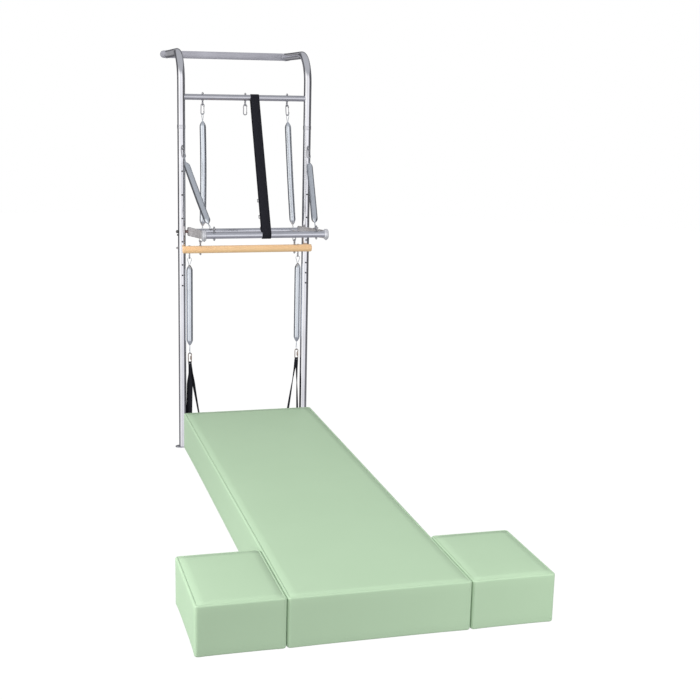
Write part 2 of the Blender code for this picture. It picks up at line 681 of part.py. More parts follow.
def front_tube():
    tube = hollow_rod(FRONT_R, PUSH_WALL, 2 * PUSH_END_X, TUBE_SIDES, "front_tube")
    tube.transform(Matrix.Translation((-PUSH_END_X, 0, 0)) @ turned_to(X_AXIS).to_4x4())
    cutters = []
    for x in (-PUSH_EYE_X, PUSH_EYE_X):
        low, high = (x, 0, -PUSH_FRONT_DIAMETER), (x, 0, PUSH_FRONT_DIAMETER)
        cutters.append(rod(BOLT_DIAMETER / 2 + GAP, low, high, BOLT_SIDES))
    return boolean(tube, cutters, "DIFFERENCE", "front_tube")


place("push_bar_front_tube", front_tube(), CHROME, FRONT, None, push_axis)
rear_length = 2 * (ARM_INNER_X - GAP)
rear_mesh = hollow_rod(PUSH_REAR_DIAMETER / 2, PUSH_WALL, rear_length, TUBE_SIDES, "rear_tube")
rear_mesh.transform(Matrix.Translation((-rear_length / 2, 0, 0)) @ turned_to(X_AXIS).to_4x4())
place("push_bar_rear_tube", rear_mesh, CHROME, PIVOT, None, push_axis)

cap_r = FRONT_R - PUSH_WALL - GAP
cap_profile = [(0, END_CAP_THICKNESS), (FRONT_R - END_CAP_ROUNDING, END_CAP_THICKNESS),
               (FRONT_R, END_CAP_RIM), (FRONT_R, 0), (cap_r, 0), (cap_r, -END_CAP_PLUG_LENGTH),
               (0, -END_CAP_PLUG_LENGTH)]
PUSH_EYE_Z = FRONT.z + FRONT_R + GAP + EYE_TO_SEAT

for side, sign in SIDES:
    place(f"push_bar_arm_{side}", arm_mesh(sign), BRUSHED, PIVOT, None, push_axis)
    cap_at = FRONT + X_AXIS * sign * (PUSH_END_X + GAP)
    place(f"push_bar_end_cap_{side}", turned(cap_profile, TUBE_SIDES, "end_cap"), CAP, cap_at,
          turned_to(X_AXIS * sign), push_axis)
    eye = Vector((sign * PUSH_EYE_X, FRONT.y, PUSH_EYE_Z))
    place(f"push_bar_eyebolt_{side}", push_eyebolt.copy(), ZINC, eye, eye_turn(-Z_AXIS, X_AXIS), push_axis)


def pivot_bolt(sign):
    """Nut outside the upright, shank through it, a spacer collar up to the arm, and the pin."""
    across = X_AXIS * sign
    tip = across * (ARM_INNER_X - PIVOT_BOLT_REACH_IN)
    outside = UPRIGHT_X + UPRIGHT_R + GAP
    shank = rod(PIVOT_BOLT_DIAMETER / 2, tip, across * (outside + PIVOT_NUT_HEIGHT / 2), PIVOT_SIDES)
    collar_start, collar_end = across * (ARM_OUTER_X + GAP), across * (UPRIGHT_INSIDE_X - GAP)
    collar = rod(PIVOT_COLLAR_DIAMETER / 2, collar_start, collar_end, PIVOT_SIDES)
    nut = rod(PIVOT_NUT_WIDTH / math.sqrt(3), across * outside, across * (outside + PIVOT_NUT_HEIGHT), 6)
    return boolean(shank, [collar, nut], "UNION", "pivot_bolt")


for side, sign in SIDES:
    place(f"pivot_bolt_{side}", pivot_bolt(sign), DARK_BOLT, PIVOT)
    top_eye = Vector((sign * UPRIGHT_X, UPRIGHT_EYE_Y, UPPER_EYE_HEIGHT))
    bar_eye = Vector((sign * PUSH_EYE_X, FRONT.y, PUSH_EYE_Z))
    top_wire = upper_wire(top_eye, bar_eye, PUSH_SPRING_TOP_SAG)[0]
    swing = new_empty(f"push_spring_axis_{side}", top_wire, TOWER)
    reach_end = new_empty(f"push_spring_slide_{side}", bar_eye, swing)
    hang_spring("push_spring", side, top_eye, bar_eye, PUSH_SPRING_TURNS, swing, reach_end,
                sags=(PUSH_SPRING_TOP_SAG, PUSH_SPRING_END_SAG))

# Roll-down bar on its two long springs

ROLL_R = ROLL_DIAMETER / 2
ROLL_Y = -(UPRIGHT_R + GAP + ROLL_R)
ROLL_HEIGHT = PIVOT_HEIGHT - ROLL_BELOW_PIVOT
ROLL_HALF_LENGTH = UPRIGHT_X + ROLL_OVERHANG
ROLL_EYE_X = ROLL_HALF_LENGTH - ROLL_EYE_INSET
ROLL_EYE_Z = ROLL_HEIGHT + ROLL_R + GAP + EYE_TO_SEAT
roll_axis = new_empty("roll_down_axis", wire_under(centre_eye), TOWER)
roll_slide = new_empty("roll_down_slide", (ROLL_SHIFT, ROLL_Y, ROLL_HEIGHT), roll_axis)


def dowel():
    half = ROLL_HALF_LENGTH
    face_r = ROLL_R - ROLL_END_ROUNDING
    shoulder = half - ROLL_END_ROUNDING
    profile = [(0, half), (face_r, half), (ROLL_R, shoulder), (ROLL_R, -shoulder), (face_r, -half),
               (0, -half)]
    bar = turned(profile, UPRIGHT_SIDES, "dowel")
    bar.transform(turned_to(X_AXIS).to_4x4())
    cutters = []
    for x in (-ROLL_EYE_X, ROLL_EYE_X):
        low, high = (x, 0, -ROLL_DIAMETER), (x, 0, ROLL_DIAMETER)
        cutters.append(rod(BOLT_DIAMETER / 2 + GAP, low, high, BOLT_SIDES))
    return boolean(bar, cutters, "DIFFERENCE", "dowel")


place("roll_down_bar", dowel(), WOOD, (ROLL_SHIFT, ROLL_Y, ROLL_HEIGHT), None, roll_slide)
for side, sign in SIDES:
    eye = Vector((ROLL_SHIFT + sign * ROLL_EYE_X, ROLL_Y, ROLL_EYE_Z))
    place(f"roll_bar_eyebolt_{side}", roll_eyebolt.copy(), ZINC, eye, eye_turn(-Z_AXIS, X_AXIS), roll_slide)
    top_eye = Vector((sign * ROLL_SPRING_X, 0, CROSSBAR_EYE_Z))
    bottom_wire = eye + (top_eye - eye).normalized() * EYE_BEARING
    hang_spring("roll_spring", side, top_eye, bottom_wire, ROLL_SPRING_TURNS, roll_axis, roll_slide)


# Leg springs, with a loop of doubled webbing on each

LOOP_DROP = LEG_SPRING_END_HEIGHT - LOOP_BOTTOM_HEIGHT
LEG_EYE_TO_UPRIGHT = UPRIGHT_INSIDE_X - LEG_EYE_X
STRAND_STEPS = 8
SQUARE_ON = math.pi / 2


def band_mesh(stations, thickness, name):
    """A closed band through stations, each a middle, the direction of its width, and its width."""
    bm = bmesh.new()
    rings = []
    for i, (middle, across, width) in enumerate(stations):
        ahead = (stations[(i + 1) % len(stations)][0] - stations[i - 1][0]).normalized()
        across = (across - ahead * ahead.dot(across)).normalized()
        out = ahead.cross(across) * thickness / 2
        half = across * width / 2
        corners = (middle - half - out, middle + half - out, middle + half + out, middle - half + out)
        rings.append([bm.verts.new(corner) for corner in corners])
    for ring, following in zip(rings, rings[1:] + rings[:1]):
        for j in range(4):
            k = (j + 1) % 4
            bm.faces.new((ring[j], ring[k], following[k], following[j]))
    bmesh.ops.triangulate(bm, faces=bm.faces)
    bmesh.ops.recalc_face_normals(bm, faces=bm.faces)
    return mesh_from_bmesh(bm, name)


def foot_loop(way, to_upright, most_turn):
    """A band that is gathered over a wire along X at the origin. Its two strands fall to a round bottom
    that opens along X, and turn their width from X towards Y as they part. The outer strand turns no
    further than a given angle, and keeps its edge or face a little off the upright."""
    wrap = SNAP_WIRE_DIAMETER / 2 + BAND_PLAY + WEB_THICKNESS / 2
    radius = LOOP_RADIUS - WEB_THICKNESS / 2
    outer_reach = (WEB_WIDTH * math.cos(most_turn) + WEB_THICKNESS * math.sin(most_turn)) / 2
    outer_x = way * (LEG_EYE_TO_UPRIGHT - to_upright - outer_reach)
    inner_x = outer_x - way * 2 * radius
    low = LOOP_RADIUS - LOOP_DROP

    def station(x, y, z, turn):
        opened = min(-z / LOOP_OPENING_FALL, 1.0)
        across = Vector((math.cos(turn), way * math.sin(turn), 0))
        return Vector((x, y, z)), across, WEB_NECK + (WEB_WIDTH - WEB_NECK) * opened

    over_wire = [(Vector((0, y, z)), X_AXIS, WEB_NECK) for y, z in arc((0, 0), wrap, 0, 180, 4)]
    outer, inner = [], []
    for i in range(1, STRAND_STEPS + 1):
        share = i / STRAND_STEPS
        y = wrap * (1 - share)
        turn = math.atan2(radius * share, y)
        outer.append(station(outer_x * share, -y, low * share, min(turn, most_turn)))
        inner.append(station(inner_x * share, y, low * share, turn))
    bottom = []
    steps = 8
    for i, (x, z) in enumerate(arc((0, low), radius, 180, 360, steps)[1:-1], 1):
        turn = most_turn + (SQUARE_ON - most_turn) * i / steps
        bottom.append(station((outer_x + inner_x) / 2 - way * x, 0, z, turn))
    return band_mesh(over_wire + outer + bottom + inner[::-1], WEB_THICKNESS, "foot_loop")


for side, sign in SIDES:
    eye = Vector((sign * LEG_EYE_X, 0, LEG_EYE_HEIGHT))
    bottom_wire = Vector((eye.x, 0, LEG_SPRING_END_HEIGHT))
    swing = new_empty(f"leg_spring_axis_{side}", eye - Z_AXIS * EYE_RING_R, TOWER)
    stretch = new_empty(f"leg_spring_slide_{side}", bottom_wire, swing)
    if side == "left":
        band = foot_loop(sign, LEFT_STRAND_TO_UPRIGHT, LEFT_STRAND_TURN)
    else:
        band = foot_loop(sign, LOOP_TO_UPRIGHT, SQUARE_ON)
    hang_spring("leg_spring", side, eye, bottom_wire, LEG_SPRING_TURNS + 0.25, swing, stretch, BRONZE, Y_AXIS,
                X_AXIS)
    place(f"foot_loop_{side}", band, WEBBING, bottom_wire, None, stretch)

# Safety strap: a loop round the crossbar and the front tube of the push-through bar

STRAP_TOP = Vector((0, 0, CROSSBAR_HEIGHT))
STRAP_BOTTOM = FRONT
strap_line = STRAP_BOTTOM - STRAP_TOP
strap_inside = max(CROSSBAR_R, FRONT_R) + STRAP_PLAY
strap_slope = (STRAP_BOTTOM_X - STRAP_TOP_X) / strap_line.length


def strap_frame():
    """From the strap's own plane (along, out, across) to the unit, with the lean to one side."""
    along = strap_line.normalized()
    turn = Matrix((along, X_AXIS.cross(along), X_AXIS)).transposed().to_4x4()
    lean = Matrix.Identity(4)
    lean[2][0] = strap_slope
    middle = (STRAP_TOP + STRAP_BOTTOM) / 2
    middle.x = (STRAP_TOP_X + STRAP_BOTTOM_X) / 2
    return Matrix.Translation(middle) @ turn @ lean


strap_outline = [stadium(strap_line.length, strap_inside + STRAP_THICKNESS, 8),
                 stadium(strap_line.length, strap_inside, 8)]
strap_mesh = flat_shape(strap_outline, STRAP_WIDTH, "safety_strap")
strap_mesh.transform(strap_frame())
place("safety_strap", strap_mesh, WEBBING)


def buckle_mesh():
    """A square ring on the back layer of the strap, near the push-through bar."""
    half_x, half_y = BUCKLE_LENGTH / 2, STRAP_WIDTH / 2 + BUCKLE_BAR
    window_x, window_y = half_x - BUCKLE_BAR, STRAP_WIDTH / 2 - GAP
    outer = [(-half_x, -half_y), (half_x, -half_y), (half_x, half_y), (-half_x, half_y)]
    window = [(-window_x, -window_y), (window_x, -window_y), (window_x, window_y), (-window_x, window_y)]
    ring = flat_shape([outer, window], BUCKLE_BAR, "buckle")
    along = strap_line.length / 2 - BUCKLE_RISE
    out = strap_inside + STRAP_THICKNESS + GAP + BUCKLE_BAR / 2
    ring.transform(Matrix.Translation((along, out, 0)) @ Matrix.Rotation(-math.pi / 2, 4, "X"))
    ring.transform(strap_frame())
    ring.transform(Matrix.Translation(-PIVOT))
    return ring


place("strap_buckle", buckle_mesh(), ZINC, PIVOT, None, push_axis)


# Mat and side cushions: firm blocks with a crown and drawn-in sides

def cushion_mesh(width, length, height, cuts, name):
    """A block on the floor, centred on its own X and Y."""
    bm = bmesh.new()
    bmesh.ops.create_cube(bm, size=1.0)
    for axis, count in enumerate(cuts):
        along = [e for e in bm.edges
                 if abs((e.verts[1].co - e.verts[0].co).normalized()[axis]) > 0.99]
        bmesh.ops.subdivide_edges(bm, edges=along, cuts=count, use_grid_fill=True)
    for vert in bm.verts:
        u, v, w = vert.co.x * 2, vert.co.y * 2, vert.co.z + 0.5
        middle_u, middle_v = 1 - u ** 4, 1 - v ** 4
        pull = CUSHION_DRAW_IN * math.sin(math.pi * w)
        pull_x = pull * middle_v + CUSHION_TAPER * (1 - w)
        pull_y = pull * middle_u + CUSHION_TAPER * (1 - w)
        crown = CUSHION_CROWN * middle_u * middle_v if w > 0.999 else 0.0
        vert.co = (u * (width / 2 - pull_x), v * (length / 2 - pull_y), w * (height - CUSHION_CROWN) + crown)
    edges = [e for e in bm.edges if len(e.link_faces) == 2 and e.calc_face_angle() > math.radians(50)
             and max(v.co.z for v in e.verts) > height / 4]
    bmesh.ops.bevel(bm, geom=edges, offset=CUSHION_EDGE, segments=2, affect="EDGES", profile=0.5)
    return mesh_from_bmesh(bm, name)


place("mat", cushion_mesh(MAT_WIDTH, MAT_LENGTH, MAT_HEIGHT, (5, 11, 2), "mat"), VINYL,
      (MAT_SHIFT, (MAT_BACK_Y + MAT_FRONT_Y) / 2, 0))
for side, sign in SIDES:
    across = MAT_WIDTH / 2 + SIDE_GAP + SIDE_WIDTH / 2
    place(f"side_cushion_{side}", cushion_mesh(SIDE_WIDTH, SIDE_LENGTH, MAT_HEIGHT, (3, 4, 2), "side"), VINYL,
          (MAT_SHIFT + sign * across, MAT_FRONT_Y + SIDE_LENGTH / 2, 0))
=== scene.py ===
"""Looks of the pilates wall unit: polished tube, satin plate, wound springs, webbing, maple and vinyl,
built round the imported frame. Metres, +Z up, +Y to the wall.
"""

import math

import bmesh
import bpy
from mathutils import Matrix, Vector


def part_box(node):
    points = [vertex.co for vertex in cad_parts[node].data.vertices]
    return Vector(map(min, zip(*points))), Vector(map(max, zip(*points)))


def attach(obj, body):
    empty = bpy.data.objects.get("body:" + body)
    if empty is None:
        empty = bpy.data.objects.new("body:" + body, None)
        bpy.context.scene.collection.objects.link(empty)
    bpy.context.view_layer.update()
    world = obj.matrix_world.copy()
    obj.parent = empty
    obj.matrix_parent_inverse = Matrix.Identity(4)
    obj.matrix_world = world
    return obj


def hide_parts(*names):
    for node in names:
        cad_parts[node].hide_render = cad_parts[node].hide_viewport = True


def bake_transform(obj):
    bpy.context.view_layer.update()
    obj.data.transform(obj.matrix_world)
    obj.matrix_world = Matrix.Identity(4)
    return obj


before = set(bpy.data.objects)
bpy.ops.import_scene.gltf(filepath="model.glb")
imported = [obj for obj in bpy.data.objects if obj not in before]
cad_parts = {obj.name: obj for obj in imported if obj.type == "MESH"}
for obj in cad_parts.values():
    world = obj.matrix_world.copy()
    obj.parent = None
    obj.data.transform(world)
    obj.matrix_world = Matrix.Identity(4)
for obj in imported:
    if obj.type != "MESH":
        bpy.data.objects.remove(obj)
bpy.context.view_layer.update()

# Camera
# It stands left of the mat's foot end, a little under two metres above the mat, and looks at the tower
# along the mat, with a slight roll.
CAMERA_PLACE = Vector((-1.3196, -5.6397, 2.0409))
CAMERA_YAW = 0.2788
CAMERA_PITCH = -0.2196
CAMERA_ROLL = 0.024
LENS_MM = 65.64
SENSOR_MM = 36.0

view_line = Vector((math.sin(CAMERA_YAW) * math.cos(CAMERA_PITCH),
                    math.cos(CAMERA_YAW) * math.cos(CAMERA_PITCH), math.sin(CAMERA_PITCH)))
level = Vector((math.cos(CAMERA_YAW), -math.sin(CAMERA_YAW), 0))
upright_line = level.cross(view_line)
camera_x = level * math.cos(CAMERA_ROLL) + upright_line * math.sin(CAMERA_ROLL)
camera_y = upright_line * math.cos(CAMERA_ROLL) - level * math.sin(CAMERA_ROLL)
camera_data = bpy.data.cameras.new("camera")
camera_data.sensor_width = SENSOR_MM
camera_data.lens = LENS_MM
camera = bpy.data.objects.new("camera", camera_data)
camera.matrix_world = (Matrix.Translation(CAMERA_PLACE)
                       @ Matrix((camera_x, camera_y, -view_line)).transposed().to_4x4())
bpy.context.scene.collection.objects.link(camera)
bpy.context.scene.camera = camera

# Studio
# A white room with a pale floor: a wide window of light behind the camera and to its left, dark walls
# beside it, a grey ceiling, and lamps that only light matt surfaces.
WINDOW = (1.10, 1.10, 1.10, 1.0)
WINDOW_BAR = (0.72, 0.72, 0.75, 1.0)
WINDOW_SHADE = (0.98, 0.98, 1.02, 1.0)
WALL = (0.12, 0.12, 0.125, 1.0)
FAR_WALL = (0.10, 0.10, 0.11, 1.0)
FAR_STREAK = (0.42, 0.42, 0.44, 1.0)
CEILING = (0.46, 0.47, 0.50, 1.0)
GROUND = (0.34, 0.34, 0.37, 1.0)
AMBIENT = (0.42, 0.42, 0.42, 1.0)
SIDE_STOPS = ((-180, FAR_WALL), (-163, FAR_WALL), (-157, FAR_STREAK), (-151, FAR_WALL), (-76, WALL),
              (-66, WINDOW), (-14, WINDOW), (-9, WINDOW_BAR), (-2, WINDOW_BAR), (3, WINDOW_SHADE),
              (50, WINDOW_SHADE), (60, WALL), (148, FAR_WALL), (154, FAR_STREAK), (160, FAR_WALL),
              (180, FAR_WALL))
LEVEL_GROUND = (*GROUND[:3], 0.0)
LEVEL_CEILING = (*CEILING[:3], 0.0)
HEIGHT_STOPS = ((-1.0, GROUND), (-0.52, GROUND), (-0.16, LEVEL_GROUND), (0.38, LEVEL_CEILING),
                (0.60, CEILING), (1.0, CEILING))
# Each lamp: its kind, place, target, power, and its size in degrees for a sun or in metres for a square.
LAMPS = {"top_light": ("SUN", (-0.6, -0.5, 5), (0, 0, 0), 0.75, 70),
         "left_light": ("SUN", (-5, -1.0, 2.2), (0, 0, 0), 1.6, 60),
         "front_light": ("SUN", (0.8, -5, 1.6), (0, 0, 0), 0.2, 60),
         "left_box": ("AREA", (-2.7, -1.3, 1.2), (-0.5, -1.2, 0.1), 32, 1.2),
         "right_box": ("AREA", (2.2, -3.4, 1.1), (0.3, -1.3, 0.1), 38, 1.2)}
FLOOR_RADIUS = 12.0
FLOOR_DROP = 0.0005

world = bpy.data.worlds.new("studio")
bpy.context.scene.world = world
world.use_nodes = True
tree = world.node_tree
tree.nodes.clear()
direction = tree.nodes.new("ShaderNodeTexCoord")


def put(tree, value, socket):
    """A value put in a socket: a link from another node, or a constant."""
    if isinstance(value, bpy.types.NodeSocket):
        tree.links.new(value, socket)
    else:
        socket.default_value = value


def reckoned(tree, operation, *values):
    """A sum on sockets or numbers."""
    node = tree.nodes.new("ShaderNodeMath")
    node.operation = operation
    for value, socket in zip(values, node.inputs):
        put(tree, value, socket)
    return node.outputs["Value"]


def part_along(line):
    """How far the looked-up direction runs along a line."""
    dot = tree.nodes.new("ShaderNodeVectorMath")
    dot.operation = "DOT_PRODUCT"
    dot.inputs[1].default_value = line
    tree.links.new(direction.outputs["Generated"], dot.inputs[0])
    return dot.outputs["Value"]


def bands_of(value, low, high, stops):
    """A colour for each stretch of a value."""
    share = tree.nodes.new("ShaderNodeMapRange")
    share.inputs["From Min"].default_value = low
    share.inputs["From Max"].default_value = high
    ramp = tree.nodes.new("ShaderNodeValToRGB")
    for element, (stop, colour) in zip(ramp.color_ramp.elements, (stops[0], stops[-1])):
        element.position = (stop - low) / (high - low)
        element.color = colour
    for stop, colour in stops[1:-1]:
        ramp.color_ramp.elements.new((stop - low) / (high - low)).color = colour
    tree.links.new(value, share.inputs["Value"])
    tree.links.new(share.outputs["Result"], ramp.inputs["Fac"])
    return ramp


def mixed(tree, factor, first, second):
    """Two colours mixed by a factor."""
    mix = tree.nodes.new("ShaderNodeMix")
    mix.data_type = "RGBA"
    put(tree, factor, mix.inputs["Factor"])
    put(tree, first, mix.inputs["A"])
    put(tree, second, mix.inputs["B"])
    return mix.outputs["Result"]


backward = Vector((-view_line.x, -view_line.y, 0)).normalized()
degrees = reckoned(tree, "DEGREES", reckoned(tree, "ARCTAN2", part_along(level), part_along(backward)))
side_light = bands_of(degrees, -180, 180, SIDE_STOPS).outputs["Color"]
height_light = bands_of(part_along((0, 0, 1)), -1, 1, HEIGHT_STOPS)
mirrored = mixed(tree, height_light.outputs["Alpha"], side_light, height_light.outputs["Color"])
seen = tree.nodes.new("ShaderNodeLightPath")
lit = mixed(tree, seen.outputs["Is Glossy Ray"], AMBIENT, mirrored)
glow = tree.nodes.new("ShaderNodeBackground")
sky = tree.nodes.new("ShaderNodeOutputWorld")
tree.links.new(mixed(tree, seen.outputs["Is Camera Ray"], lit, (1, 1, 1, 1)), glow.inputs["Color"])
tree.links.new(glow.outputs["Background"], sky.inputs["Surface"])
bpy.context.scene.view_settings.view_transform = "Standard"
for name, (kind, place, target, power, size) in LAMPS.items():
    data = bpy.data.lights.new(name, kind)
    data.energy = power
    if kind == "SUN":
        data.angle = math.radians(size)
    else:
        data.size = size
    lamp = bpy.data.objects.new(name, data)
    lamp.location = place
    lamp.rotation_euler = (Vector(target) - Vector(place)).to_track_quat("-Z", "Y").to_euler()
    lamp.visible_glossy = False
    bpy.context.scene.collection.objects.link(lamp)

floor_mesh = bpy.data.meshes.new("studio_floor")
bm = bmesh.new()
bmesh.ops.create_circle(bm, cap_ends=True, radius=FLOOR_RADIUS, segments=64)
bmesh.ops.translate(bm, vec=(0, 0, -FLOOR_DROP), verts=bm.verts)
bm.to_mesh(floor_mesh)
bm.free()
floor = bpy.data.objects.new("studio_floor", floor_mesh)
bpy.context.scene.collection.objects.link(floor)
floor.visible_glossy = False
floor.visible_diffuse = False
floor_paint = bpy.data.materials.new("studio_white")
floor_paint.use_nodes = True
floor_shader = floor_paint.node_tree.nodes["Principled BSDF"]
floor_shader.inputs["Base Color"].default_value = (0.02, 0.02, 0.02, 1)
floor_shader.inputs["Roughness"].default_value = 1.0
floor_shader.inputs["Specular IOR Level"].default_value = 0.0
floor_shader.inputs["Emission Color"].default_value = (1, 1, 1, 1)
floor_shader.inputs["Emission Strength"].default_value = 1.0
floor_mesh.materials.append(floor_paint)

# Lower posts
# Steel tube, 40 mm across with a 2 mm wall, ground and polished along its length. A row of holes is
# drilled in its front wall, and bolts go through it for the eyes and for the push-through bar.
ROUND_SIDES = 64
SHARP_ANGLE = 35
TUBE_WALL = 0.002
TUBE_EDGE = 0.0004
POST_RINGS = 30
HOLE_DIAMETER = 0.0085
EYE_HEIGHT_BELOW_JOINT = 0.104
HOLE_PITCH = 0.122
HOLE_COUNT = 5
LOW_HOLE_PITCH = 0.055
LOW_HOLE_COUNT = 2
POST_STEEL = (0.93, 0.93, 0.96)
PATCH_TONE = 0.90
SIDES = {"left": -1, "right": 1}


def surface(name):
    """A new material for a slot, its shader and its node tree."""
    material = bpy.data.materials.new(name)
    material.use_nodes = True
    return material, material.node_tree.nodes["Principled BSDF"], material.node_tree


def noise_of(tree, scale, detail=3.0):
    """Noise on Object coordinates that are scaled by a vector, in cells per metre."""
    place = tree.nodes.new("ShaderNodeTexCoord")
    mapping = tree.nodes.new("ShaderNodeMapping")
    mapping.inputs["Scale"].default_value = scale
    noise = tree.nodes.new("ShaderNodeTexNoise")
    noise.inputs["Scale"].default_value = 1.0
    noise.inputs["Detail"].default_value = detail
    tree.links.new(place.outputs["Object"], mapping.inputs["Vector"])
    tree.links.new(mapping.outputs["Vector"], noise.inputs["Vector"])
    return noise.outputs["Fac"]


def spread(tree, value, low, high):
    """A noise value spread over a range."""
    span = tree.nodes.new("ShaderNodeMapRange")
    for name, limit in (("From Min", 0.3), ("From Max", 0.7), ("To Min", low), ("To Max", high)):
        span.inputs[name].default_value = limit
    tree.links.new(value, span.inputs["Value"])
    return span.outputs["Result"]


def finished(tree, shader, blend, tones, grain, rough, relief_of, relief):
    """A shader's colour between two tones, its roughness over a range of a grain, and its relief."""
    tree.links.new(mixed(tree, blend, *[(*tone, 1) for tone in tones]), shader.inputs["Base Color"])
    if rough:
        tree.links.new(spread(tree, grain, *rough), shader.inputs["Roughness"])
    bump = tree.nodes.new("ShaderNodeBump")
    bump.inputs["Distance"].default_value = relief
    tree.links.new(relief_of, bump.inputs["Height"])
    tree.links.new(bump.outputs["Normal"], shader.inputs["Normal"])


def metal(name, colour, grain, rough, relief, darker=None, patches=(9, 9, 9), detail=2.0,
          metallic=1.0):
    """A metal with patches of a darker tone. Noise stretched along its grain drives its roughness and a
    faint relief."""
    material, shader, tree = surface(name)
    shader.inputs["Metallic"].default_value = metallic
    fine = noise_of(tree, grain)
    cloudy = spread(tree, noise_of(tree, patches, detail), 0, 1)
    tones = (colour, darker or tuple(channel * PATCH_TONE for channel in colour))
    finished(tree, shader, cloudy, tones, fine, rough, fine, relief)
    return material


def turned(profile, sides=ROUND_SIDES):
    """A closed outline of (radius, height) points, spun once round Z."""
    bm = bmesh.new()
    verts = [bm.verts.new((radius, 0, height)) for radius, height in profile]
    edges = [bm.edges.new(pair) for pair in zip(verts, verts[1:] + verts[:1])]
    bmesh.ops.spin(bm, geom=verts + edges, cent=(0, 0, 0), axis=(0, 0, 1), angle=2 * math.pi,
                   steps=sides, use_merge=True)
    bmesh.ops.remove_doubles(bm, verts=bm.verts, dist=1e-6)
    flat = [face for face in bm.faces if face.calc_area() < 1e-14]
    bmesh.ops.delete(bm, geom=flat, context="FACES")
    return bm


def tube_profile(radius, wall, length, edge=TUBE_EDGE, rings=1):
    """The wall of a tube that starts at height 0, its corners eased, its outside cut in rings."""
    inner = radius - wall
    outside = [(radius, edge + (length - 2 * edge) * i / rings) for i in range(rings + 1)]
    inside = [(inner, edge + (length - 2 * edge) * i / rings) for i in range(rings, -1, -1)]
    top = [(radius - edge, length), (inner + edge, length)]
    bottom = [(inner + edge, 0), (radius - edge, 0)]
    return outside + top + inside + bottom


def turned_to(axis):
    """The turn that takes +Z to an axis."""
    return Vector(axis).to_track_quat("Z", "Y").to_matrix().to_4x4()


def moved(bm, matrix):
    bmesh.ops.transform(bm, matrix=matrix, verts=bm.verts)
    return bm


def added(bm, *others):
    """Further bodies put into the same mesh."""
    for other in others:
        spare = bpy.data.meshes.new("spare")
        other.to_mesh(spare)
        other.free()
        bm.from_mesh(spare)
        bpy.data.meshes.remove(spare)
    return bm


def to_object(bm, name, sharp=SHARP_ANGLE):
    bmesh.ops.recalc_face_normals(bm, faces=bm.faces)
    mesh = bpy.data.meshes.new(name)
    bm.to_mesh(mesh)
    bm.free()
    mesh.shade_smooth()
    mesh.set_sharp_from_angle(angle=math.radians(sharp))
    obj = bpy.data.objects.new(name, mesh)
    bpy.context.scene.collection.objects.link(obj)
    return obj


def dress(obj, body, material, *nodes):
    """Give a piece its material and its body, and hide the nodes that it stands for."""
    obj.data.materials.clear()
    obj.data.materials.append(material)
    if body:
        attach(obj, body)
    if nodes:
        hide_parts(*nodes)
    return obj


def piece(bm, name, body, material, *nodes, sharp=SHARP_ANGLE):
    """A finished piece from its mesh."""
    return dress(to_object(bm, name, sharp), body, material, *nodes)


def laid(bm, place, axis):
    """A shape whose foot goes to a place and whose Z goes along an axis."""
    return moved(bm, Matrix.Translation(place) @ turned_to(axis))


def rod(radius, start, end, sides=24):
    """A plain pin from one point to another."""
    start, end = Vector(start), Vector(end)
    bm = bmesh.new()
    bmesh.ops.create_cone(bm, cap_ends=True, segments=sides, radius1=radius, radius2=radius,
                          depth=(end - start).length)
    return laid(bm, (start + end) / 2, end - start)


def drilled(obj, cutters):
    """The piece with holes cut by the pins."""
    cutter = to_object(added(bmesh.new(), *cutters), "drill")
    cut = obj.modifiers.new("drill", "BOOLEAN")
    cut.operation = "DIFFERENCE"
    cut.object = cutter
    graph = bpy.context.evaluated_depsgraph_get()
    mesh = bpy.data.meshes.new_from_object(obj.evaluated_get(graph), depsgraph=graph)
    obj.modifiers.remove(cut)
    old = obj.data
    obj.data = mesh
    bpy.data.meshes.remove(old)
    mesh.shade_smooth()
    mesh.set_sharp_from_angle(angle=math.radians(SHARP_ANGLE))
    bpy.data.objects.remove(cutter)
    return obj


post_steel = metal("post_steel", POST_STEEL, (420, 420, 5), (0.10, 0.18), 0.000003)
for side in SIDES:
    low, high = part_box(f"upright_lower_{side}")
    middle, radius = (low + high) / 2, (high.x - low.x) / 2
    tube = turned(tube_profile(radius, TUBE_WALL, high.z - low.z, rings=POST_RINGS))
    post = to_object(moved(tube, Matrix.Translation((middle.x, middle.y, low.z))), f"lower_post_{side}")
    eye_height = high.z - EYE_HEIGHT_BELOW_JOINT
    heights = [eye_height - HOLE_PITCH * (i + 1) for i in range(HOLE_COUNT)]
    heights += [heights[-1] - LOW_HOLE_PITCH * (i + 1) for i in range(LOW_HOLE_COUNT)]
    holes = [rod(HOLE_DIAMETER / 2, (middle.x, middle.y - 2 * radius, z), (middle.x, middle.y, z))
             for z in heights]
    dress(drilled(post, holes), "tower", post_steel, f"upright_lower_{side}")

# Upper posts
# The same polished steel tube, bent back in one sweep. Its foot is pressed on a spigot in the lower
# post, and its end is welded to the disc on the wall bar.
BEND_RADIUS = 0.145
BEND_STEPS = 28
ARM_SLOPE = math.radians(1.6)
FLANGE_THICKNESS = 0.005
TOUCH = 0.0003


def extruded(bm, faces, vector=None, **spin):
    """Faces drawn out along a vector, or round an axis. Gives back the faces at the new end."""
    if spin:
        grown = bmesh.ops.spin(bm, geom=faces, use_duplicate=False, **spin)["geom_last"]
    else:
        grown = bmesh.ops.extrude_face_region(bm, geom=faces)["geom"]
        bmesh.ops.translate(bm, vec=vector, verts=[g for g in grown if isinstance(g, bmesh.types.BMVert)])
    return [g for g in grown if isinstance(g, bmesh.types.BMFace)]


